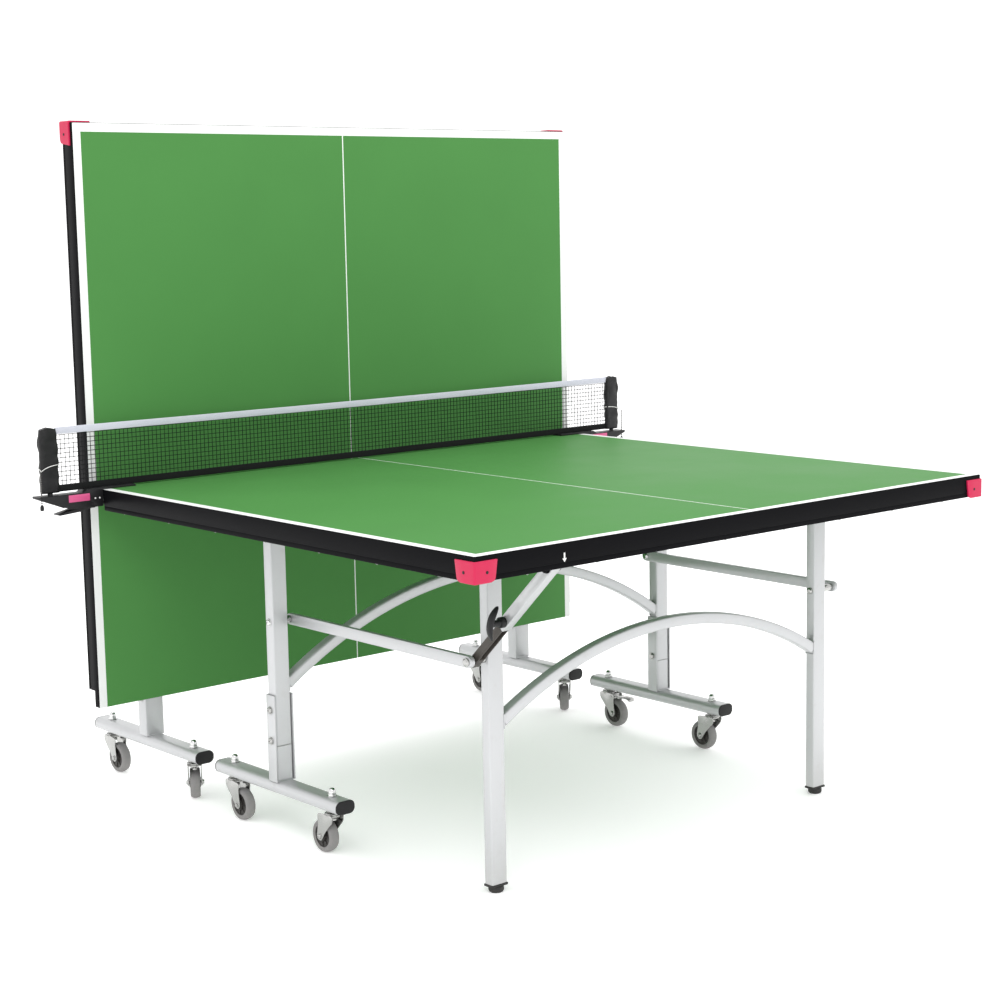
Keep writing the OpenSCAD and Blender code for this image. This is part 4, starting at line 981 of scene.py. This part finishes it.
def pull_mesh():
    """Crescent handle on a round boss and neck, pointing out from the strut, along -X."""
    bm = bmesh.new()
    h = 0.011
    prof = [(0, h - 0.0016), (0.0040, h - 0.0016), (0.0040, h + 0.0003), (0.0104, h + 0.0003), (0.0110, h + 0.0010),
            (0.0110, h + 0.0105),
            (0.0102, h + 0.0120), (0.0080, h + 0.0128), (0.0070, h + 0.0145), (0.0068, h + 0.0300),
            (0.0076, h + 0.0345), (0, h + 0.0345)]
    part(bm, lathe(prof, 32, closed=False), spin(-90, "Y"))
    rings = []
    n = 30
    for k in range(n + 1):
        q = -1 + 2 * k / n
        bend = 0.0395 - 0.0115 * abs(q) ** 2.0
        thick = 0.0042 * (1 - abs(q) ** 2.6) + 0.0010
        wide = 0.0074 * math.sqrt(max(0.0, 1 - abs(q) ** 3.0)) + 0.0014
        c = Vector((-(h + bend - 0.0045), 0, q * 0.0372))
        rings.append([c + Vector((thick * math.cos(math.tau * j / 16), wide * math.sin(math.tau * j / 16),
                                  0)) for j in range(16)])
    part(bm, loft(rings), spin(-30, "X"))
    return bm


for h in ("near", "far"):
    for add in (add_board, add_wheeled_frame, add_frame_fasteners, add_legs, add_links, add_strut, add_screws):
        add(h)


# ---------- casters ----------
def fork_mesh(brake=False):
    """Pressed fork: crown with its ball race, two curved cheeks, and the axle bolt."""
    bm = bmesh.new()
    hf = 0.0143
    zc, top = WHEEL_R, 0.095
    crown = [(0.0052, top - 0.0085), (0.0160, top - 0.0085), (0.0178, top - 0.0078), (0.0184, top - 0.0062),
             (0.0180, top - 0.0046),
             (0.0164, top - 0.0036), (0.0164, top - 0.0028), (0.0174, top - 0.0024), (0.0178, top - 0.0014),
             (0.0172, top - 0.0006),
             (0.0120, top - 0.0003), (0.0052, top - 0.0003)]
    part(bm, lathe(crown, 40))
    cheek = smooth_outline([(-0.0165, 0.0905), (-0.004, 0.0915), (0.010, 0.0915), (0.0215, 0.0905), (0.0330, 0.0885),
                            (0.0350, 0.0810), (0.0335, 0.0700),
                            (0.0350, 0.0560), (0.0372, 0.0430), (0.0368, 0.0345), (0.0310, 0.0288), (0.0235, 0.0292),
                            (0.0185, 0.0345),
                            (0.0090, 0.0480), (-0.0040, 0.0620), (-0.0150, 0.0740), (-0.0180, 0.0830)], 5)
    for s in (-1, 1):
        c = prism(cheek, 0.0025, 0.0005)
        # a pressed rib round the axle
        part(c, lathe([(0, 0.0020), (0.0072, 0.0020), (0.0072, 0.0029), (0.0066, 0.0034), (0, 0.0034)], 24,
                      closed=False), at(TRAIL, zc, 0))
        x = hf if s > 0 else -hf
        place = Matrix(((0, 0, s, x), (1, 0, 0, 0), (0, 1, 0, 0), (0, 0, 0, 1)))
        c.transform(place)
        bmesh.ops.recalc_face_normals(c, faces=c.faces)
        part(bm, c)
    part(bm, block((-hf - 0.0012, -0.0160, top - 0.0068), (hf + 0.0012, 0.0170, top - 0.0042), 0.0009))
    rod(bm, -hf - 0.0030, hf + 0.0030, TRAIL, zc, 0.008)
    head(bm, hf + 0.0028, TRAIL, zc, 0.0135, 0.0042, 1, 0, hexed=True)
    head(bm, -hf - 0.0028, TRAIL, zc, 0.0135, 0.0042, -1, 0, hexed=False)
    if brake:
        rod(bm, -hf - 0.0035, hf + 0.0035, BRAKE_Y, BRAKE_Z, 0.005)
    return bm


def mirrored(half):
    """The other half of a profile that is the same on both sides of z = 0."""
    return [(q, -z) for q, z in reversed(half)]


def wheel_mesh():
    """Grey tyre with a crowned tread and side grooves, on a black ribbed hub."""
    bm = bmesh.new()
    r, w = WHEEL_R, 0.012
    tyre = [(r - 0.0118, -w + 0.0016), (r - 0.0100, -w + 0.0008), (r - 0.0082, -w + 0.0010), (r - 0.0076, -w),
            (r - 0.0050, -w + 0.0002),
            (r - 0.0026, -w + 0.0018), (r - 0.0012, -w + 0.0048), (r - 0.0003, -w + 0.0082)]
    part(bm, lathe(tyre + [(r, 0.0)] + mirrored(tyre), 72), None, 0)
    hub = [(r - 0.0119, -w + 0.0022), (r - 0.0135, -w + 0.0014), (r - 0.0150, -w + 0.0030), (0.0125, -w + 0.0036),
           (0.0120, -w - 0.0010),
           (0.0112, -w - 0.0015), (0.0042, -w - 0.0015)]
    part(bm, lathe(hub + mirrored(hub), 60), None, 1)
    for k in range(8):
        for s in (-1, 1):
            zz = sorted((s * (w - 0.0036), s * (w - 0.0014)))
            part(bm, block((0.0118, -0.0010, zz[0]), (r - 0.0145, 0.0010, zz[1]), 0.0004), spin(45 * k, "Z"), 1)
    bm.transform(at(0, TRAIL, WHEEL_R) @ spin(90, "Y"))
    return bm


def brake_mesh():
    """Pressed brake pedal with a turned-down lip and two raised grips."""
    bm = bmesh.new()
    w, py, pz = 0.0138, BRAKE_Y, BRAKE_Z
    rod(bm, -w, w, py, pz, 0.0095)
    rings = []
    for d, dz, ww in ((0.003, 0.0, w), (0.020, 0.0, w), (0.036, 0.0004, w * 0.93), (0.050, 0.0008, w * 0.93),
                      (0.0565, 0.0, w * 0.9), (0.0600, -0.0030, w * 0.82), (0.0615, -0.0062, w * 0.7)):
        rings.append([(u, py + d, pz + dz + v) for u, v in round_section(2 * ww, 0.0026, 0.0011, 2)])
    part(bm, loft(rings))
    for d in (0.040, 0.046, 0.052):
        part(bm, block((-w * 0.7, py + d - 0.001, pz + 0.0010), (w * 0.7, py + d + 0.001, pz + 0.0028), 0.0005))
    part(bm, block((-0.0075, py + 0.010, pz - 0.0065), (0.0075, py + 0.017, pz), 0.0008))
    return bm


CASTERS = {
    "near_left_end": (-1, "near", -1, 0), "near_left_net": (-1, "near", 1, 180),
    "near_right_end": (1, "near", -1, 0), "near_right_net": (1, "near", 1, 180),
    "far_left_net": (-1, "far", -1, -32), "far_left_end": (-1, "far", 1, 180),
    "far_right_net": (1, "far", -1, -40), "far_right_end": (1, "far", 1, 180),
}
for n, (s, h, e, a) in CASTERS.items():
    cy = SHIFT + PIVOT_Y if h == "near" else SHIFT + FAR_EDGE - PIVOT_Y
    place = at(s * UP_X, cy + e * STEM, 0) @ spin(a, "Z")
    brake = n in ("near_right_net", "far_right_end")
    piece("caster_fork_" + n, fork_mesh(brake), MAT["zinc"], "fork_" + n, place, ["fork_" + n],
          outward=False)
    piece("caster_wheel_" + n, wheel_mesh(), [MAT["tyre"], MAT["hub"]], "wheel_" + n, place, ["wheel_" + n],
          outward=False)
    if brake:
        piece("brake_pedal_" + n, brake_mesh(), MAT["zinc"], "brake_" + n, place, ["brake_" + n],
              outward=False)


# ---------- net ----------
NET_TOP, NET_LOW = TOP_Z + 0.1525, TOP_Z + 0.003
net_y = NET_Y + SHIFT
INNER = POST_X - 0.023


def strip(name, x0, x1, z_low, z_high, thick, mat, sag=0.0):
    """A folded tape along the net, hanging a little between its ends."""
    cols, ripple = 160, 0.0012
    rings = []
    for k in range(cols + 1):
        q = k / cols
        x = x0 + (x1 - x0) * q
        dz = -sag * 4 * q * (1 - q)
        dy = ripple * noise.noise(Vector((x * 6, 0.3, 1.7)))
        ring = []
        for u, v in round_section(thick, z_high - z_low, thick * 0.42, 3):
            ring.append((x, net_y + u + dy, (z_low + z_high) / 2 + v + dz))
        rings.append(ring)
    bm = loft(rings)
    uv = bm.loops.layers.uv.new("cut")
    for f in bm.faces:
        for l in f.loops:
            l[uv].uv = (l.vert.co.x, l.vert.co.z + l.vert.co.y)
    return piece(name, bm, MAT[mat], "near_top")


def sleeve_mesh(s):
    """Cloth sleeve pulled over a post: an open tube, creased where it is gathered, with hems."""
    n, rows = 44, 34
    z0, z1 = NET_LOW, TOP_Z + 0.1485
    bm = bmesh.new()
    uv = bm.loops.layers.uv.new("cut")
    grid = []
    for r in range(rows + 1):
        q = r / rows
        z = z0 + (z1 - z0) * q
        row = []
        for k in range(n):
            a = math.tau * k / n
            cu, cv = math.cos(a), math.sin(a)
            u = 0.0222 * math.copysign(abs(cu) ** 0.45, cu)
            v = 0.0080 * math.copysign(abs(cv) ** 0.75, cv)
            fold = 0.0040 * noise.noise(Vector((u * 42 + s * 7, v * 30,
                                                z * 20))) + 0.0016 * noise.noise(Vector((u * 90, v * 60 + 3, z * 48)))
            slant = 0.0013 * math.sin(z * 150 + s * 60 * u + 2.2 * noise.noise(Vector((u * 30, s * 2.0, z * 14))))
            g = fold + slant * min(1.0, q * 5) * min(1.0, (1 - q) * 8)
            hem = 0.0005 if q < 0.06 else 0.0
            tip = max(0.0, (q - 0.86) / 0.14)
            inward = 1 - 0.10 * tip * tip
            x = s * (POST_X + u * inward + math.copysign(g * 0.5, u))
            y = net_y + (v + math.copysign(g + hem, v)) * inward
            peak = 0.0045 * tip * tip * (1 - abs(u) / 0.022)
            row.append(bm.verts.new((x, y, z + peak)))
        grid.append(row)
    for r in range(rows):
        for k in range(n):
            f = bm.faces.new((grid[r][k], grid[r][(k + 1) % n], grid[r + 1][(k + 1) % n], grid[r + 1][k]))
            for l, (dk, dr) in zip(f.loops, ((0, 0), (1, 0), (1, 1), (0, 1))):
                l[uv].uv = ((k + dk) * 0.106 / n, (r + dr) * (z1 - z0) / rows)
    bm.faces.new(grid[-1])
    bmesh.ops.recalc_face_normals(bm, faces=bm.faces)
    return bm


net = grown("net_mesh", NET_TREE, {
    "Width": 2 * (INNER + 0.002), "Height": 0.1165, "Cells across": 158, "Cells up": 11, "Cord radius": 0.0008,
    "Lowest": NET_LOW + 0.0145, "Y": net_y, "Sway": 0.0008, "Cord": MAT["net"]})
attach(net, "near_top")
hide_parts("net")
tape = strip("net_top_tape", -INNER - 0.004, INNER + 0.004, NET_TOP - 0.0165, NET_TOP - 0.0006, 0.0024, "tape",
             sag=0.002)
band = strip("net_lower_tape", -INNER - 0.004, INNER + 0.004, NET_LOW + 0.0004, NET_LOW + 0.0165, 0.0024, "band")
for n, s in (("left", -1), ("right", 1)):
    ob = piece("post_sleeve_" + n, sleeve_mesh(s), MAT["sleeve"], "near_top", smooth=70,
               outward=False)
    mod = ob.modifiers.new("cloth thickness", "SOLIDIFY")
    mod.thickness, mod.offset = 0.0008, -1

piece("net_clamps", from_cad("net_posts", 0.0007), MAT["black"], "near_top", None, ["net_posts"])
for n in ("left", "right"):
    piece("clamp_jaw_" + n, from_cad("clamp_lever_" + n, 0.0007), MAT["black"], "clamp_lever_" + n, None,
          ["clamp_lever_" + n])

# labels and rivets on the clamps' outer cheeks
clamp_y0 = net_y - 0.020
bm = bmesh.new()
for s in (-1, 1):
    x0, x1 = sorted((s * 0.799, s * 0.853))
    part(bm, block((x0, clamp_y0 - 0.0005, 0.7385), (x1, clamp_y0 + 0.0002, 0.7550), 0.0002), None, 0)
    for dx in (0.7735, 0.7850):
        part(bm, lathe([(0, 0.0009), (0.0014, 0.0007), (0.0020, 0.0), (0, 0)], 16, closed=False),
             at(s * dx, clamp_y0 - 0.0001, 0.7420) @ spin(90, "X"), 1)
piece("clamp_labels", bm, [MAT["label"], MAT["white"]], "near_top", None, (), outward=False)

# chain of beads with its knob and cord loop, on each side
for n, s in (("left", -1), ("right", 1)):
    x, y = s * 0.9175, net_y - 0.013
    top, low = TOP_Z + 0.054, TOP_Z - 0.022
    me = bpy.data.meshes.new("chain_line")
    path = [(x, y, top - (top - low) * k / 14) for k in range(15)]
    me.from_pydata(path, [(k, k + 1) for k in range(14)], [])
    chain = grown("bead_chain_" + n, BEAD_TREE, {"Bead radius": 0.0020, "Pitch": 0.0049, "Wire radius": 0.0007,
                                                 "Bead": MAT["bead"]}, me)
    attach(chain, "near_top")
    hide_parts("tension_chains")
    bm = lathe([(0, low - 0.012), (0.0036, low - 0.012), (0.0044, low - 0.0108), (0.0045, low - 0.004),
                (0.0034, low - 0.0008), (0.0022, low + 0.001), (0, low + 0.001)], 20, closed=False)
    knob = piece("chain_knob_" + n, bm, MAT["black"], "near_top", at(x, y, 0), ())
    # white loop round the sleeve that the chain hangs from
    loop = []
    for k in range(33):
        a = math.tau * k / 32
        pull = max(0.0, math.cos(a + 0.75)) ** 10
        on = Vector((s * (POST_X + 0.0256 * math.cos(a)), net_y + 0.0122 * math.sin(a),
                     top + 0.009 + 0.004 * math.cos(a + 2.4)))
        loop.append(on.lerp(Vector((x, y, top - 0.001)), pull))
    rings = []
    for k, c in enumerate(loop[:-1]):
        d = (Vector(loop[(k + 1) % 32]) - Vector(loop[k - 1])).normalized()
        u = d.cross(Vector((0, 0, 1))).normalized()
        v = d.cross(u)
        rings.append(tube_ring(c, u, v, LOOP_R, 8))
    bm = loft(rings, closed=True)
    piece("cord_loop_" + n, bm, MAT["cord_white"], "near_top", None, ())

# ---------- printed arrow beside the pull ----------
for h in ("near", "far"):
    bm = bmesh.new()
    y = -HALF_L - 0.00125
    arrow = [(-0.0019, 0.0098), (0.0019, 0.0098), (0.0019, -0.0008), (0.0056, -0.0008), (0.0, -0.0082),
             (-0.0056, -0.0008), (-0.0019, -0.0008)]
    vs = [bm.verts.new((ARROW_X + u, y, ARROW_Z + v)) for u, v in arrow]
    back = [bm.verts.new((ARROW_X + u, y + 0.00015, ARROW_Z + v)) for u, v in arrow]
    bm.faces.new(vs)
    bm.faces.new(back[::-1])
    n = len(arrow)
    for k in range(n):
        bm.faces.new((vs[k], back[k], back[(k + 1) % n], vs[(k + 1) % n]))
    piece(h + "_pull_arrow", bm, MAT["white"], h + "_top", PLACE[h]["top"], ())

# ---------- stage and light ----------
bm = bmesh.new()
bmesh.ops.create_circle(bm, cap_ends=True, segments=64, radius=16)
me = bpy.data.meshes.new("floor")
bm.to_mesh(me)
bm.free()
floor = bpy.data.objects.new("floor", me)
floor_mat = bpy.data.materials.new("Pale floor")
floor_mat.use_nodes = True
floor_bsdf = floor_mat.node_tree.nodes["Principled BSDF"]
floor_bsdf.inputs["Base Color"].default_value = (0.93, 0.93, 0.93, 1)
floor_bsdf.inputs["Roughness"].default_value = 0.9
floor_bsdf.inputs["Emission Color"].default_value = (1, 1, 1, 1)
floor_bsdf.inputs["Emission Strength"].default_value = 0.30
me.materials.append(floor_mat)
scene.collection.objects.link(floor)
floor.location = (0, 0, -0.0002)

world = bpy.data.worlds.new("studio")
world.use_nodes = True
background = world.node_tree.nodes["Background"]
background.inputs["Color"].default_value = (1.0, 1.0, 1.0, 1)
background.inputs["Strength"].default_value = 1.35
scene.world = world
scene.view_settings.view_transform = "Standard"


def lamp(name, pos, aim, size, power, colour=(1, 1, 1)):
    d = bpy.data.lights.new(name, "AREA")
    d.shape, d.size, d.energy, d.color = "DISK", size, power, colour
    o = bpy.data.objects.new(name, d)
    o.location = pos
    o.rotation_euler = (Vector(aim) - Vector(pos)).to_track_quat("-Z", "Y").to_euler()
    scene.collection.objects.link(o)


lamp("key", (-3.4, -3.4, 4.2), (0, 0, 0.5), 2.4, 55)
lamp("overhead", (0.4, -0.4, 4.8), (0, 0, 0.6), 3.0, 85)
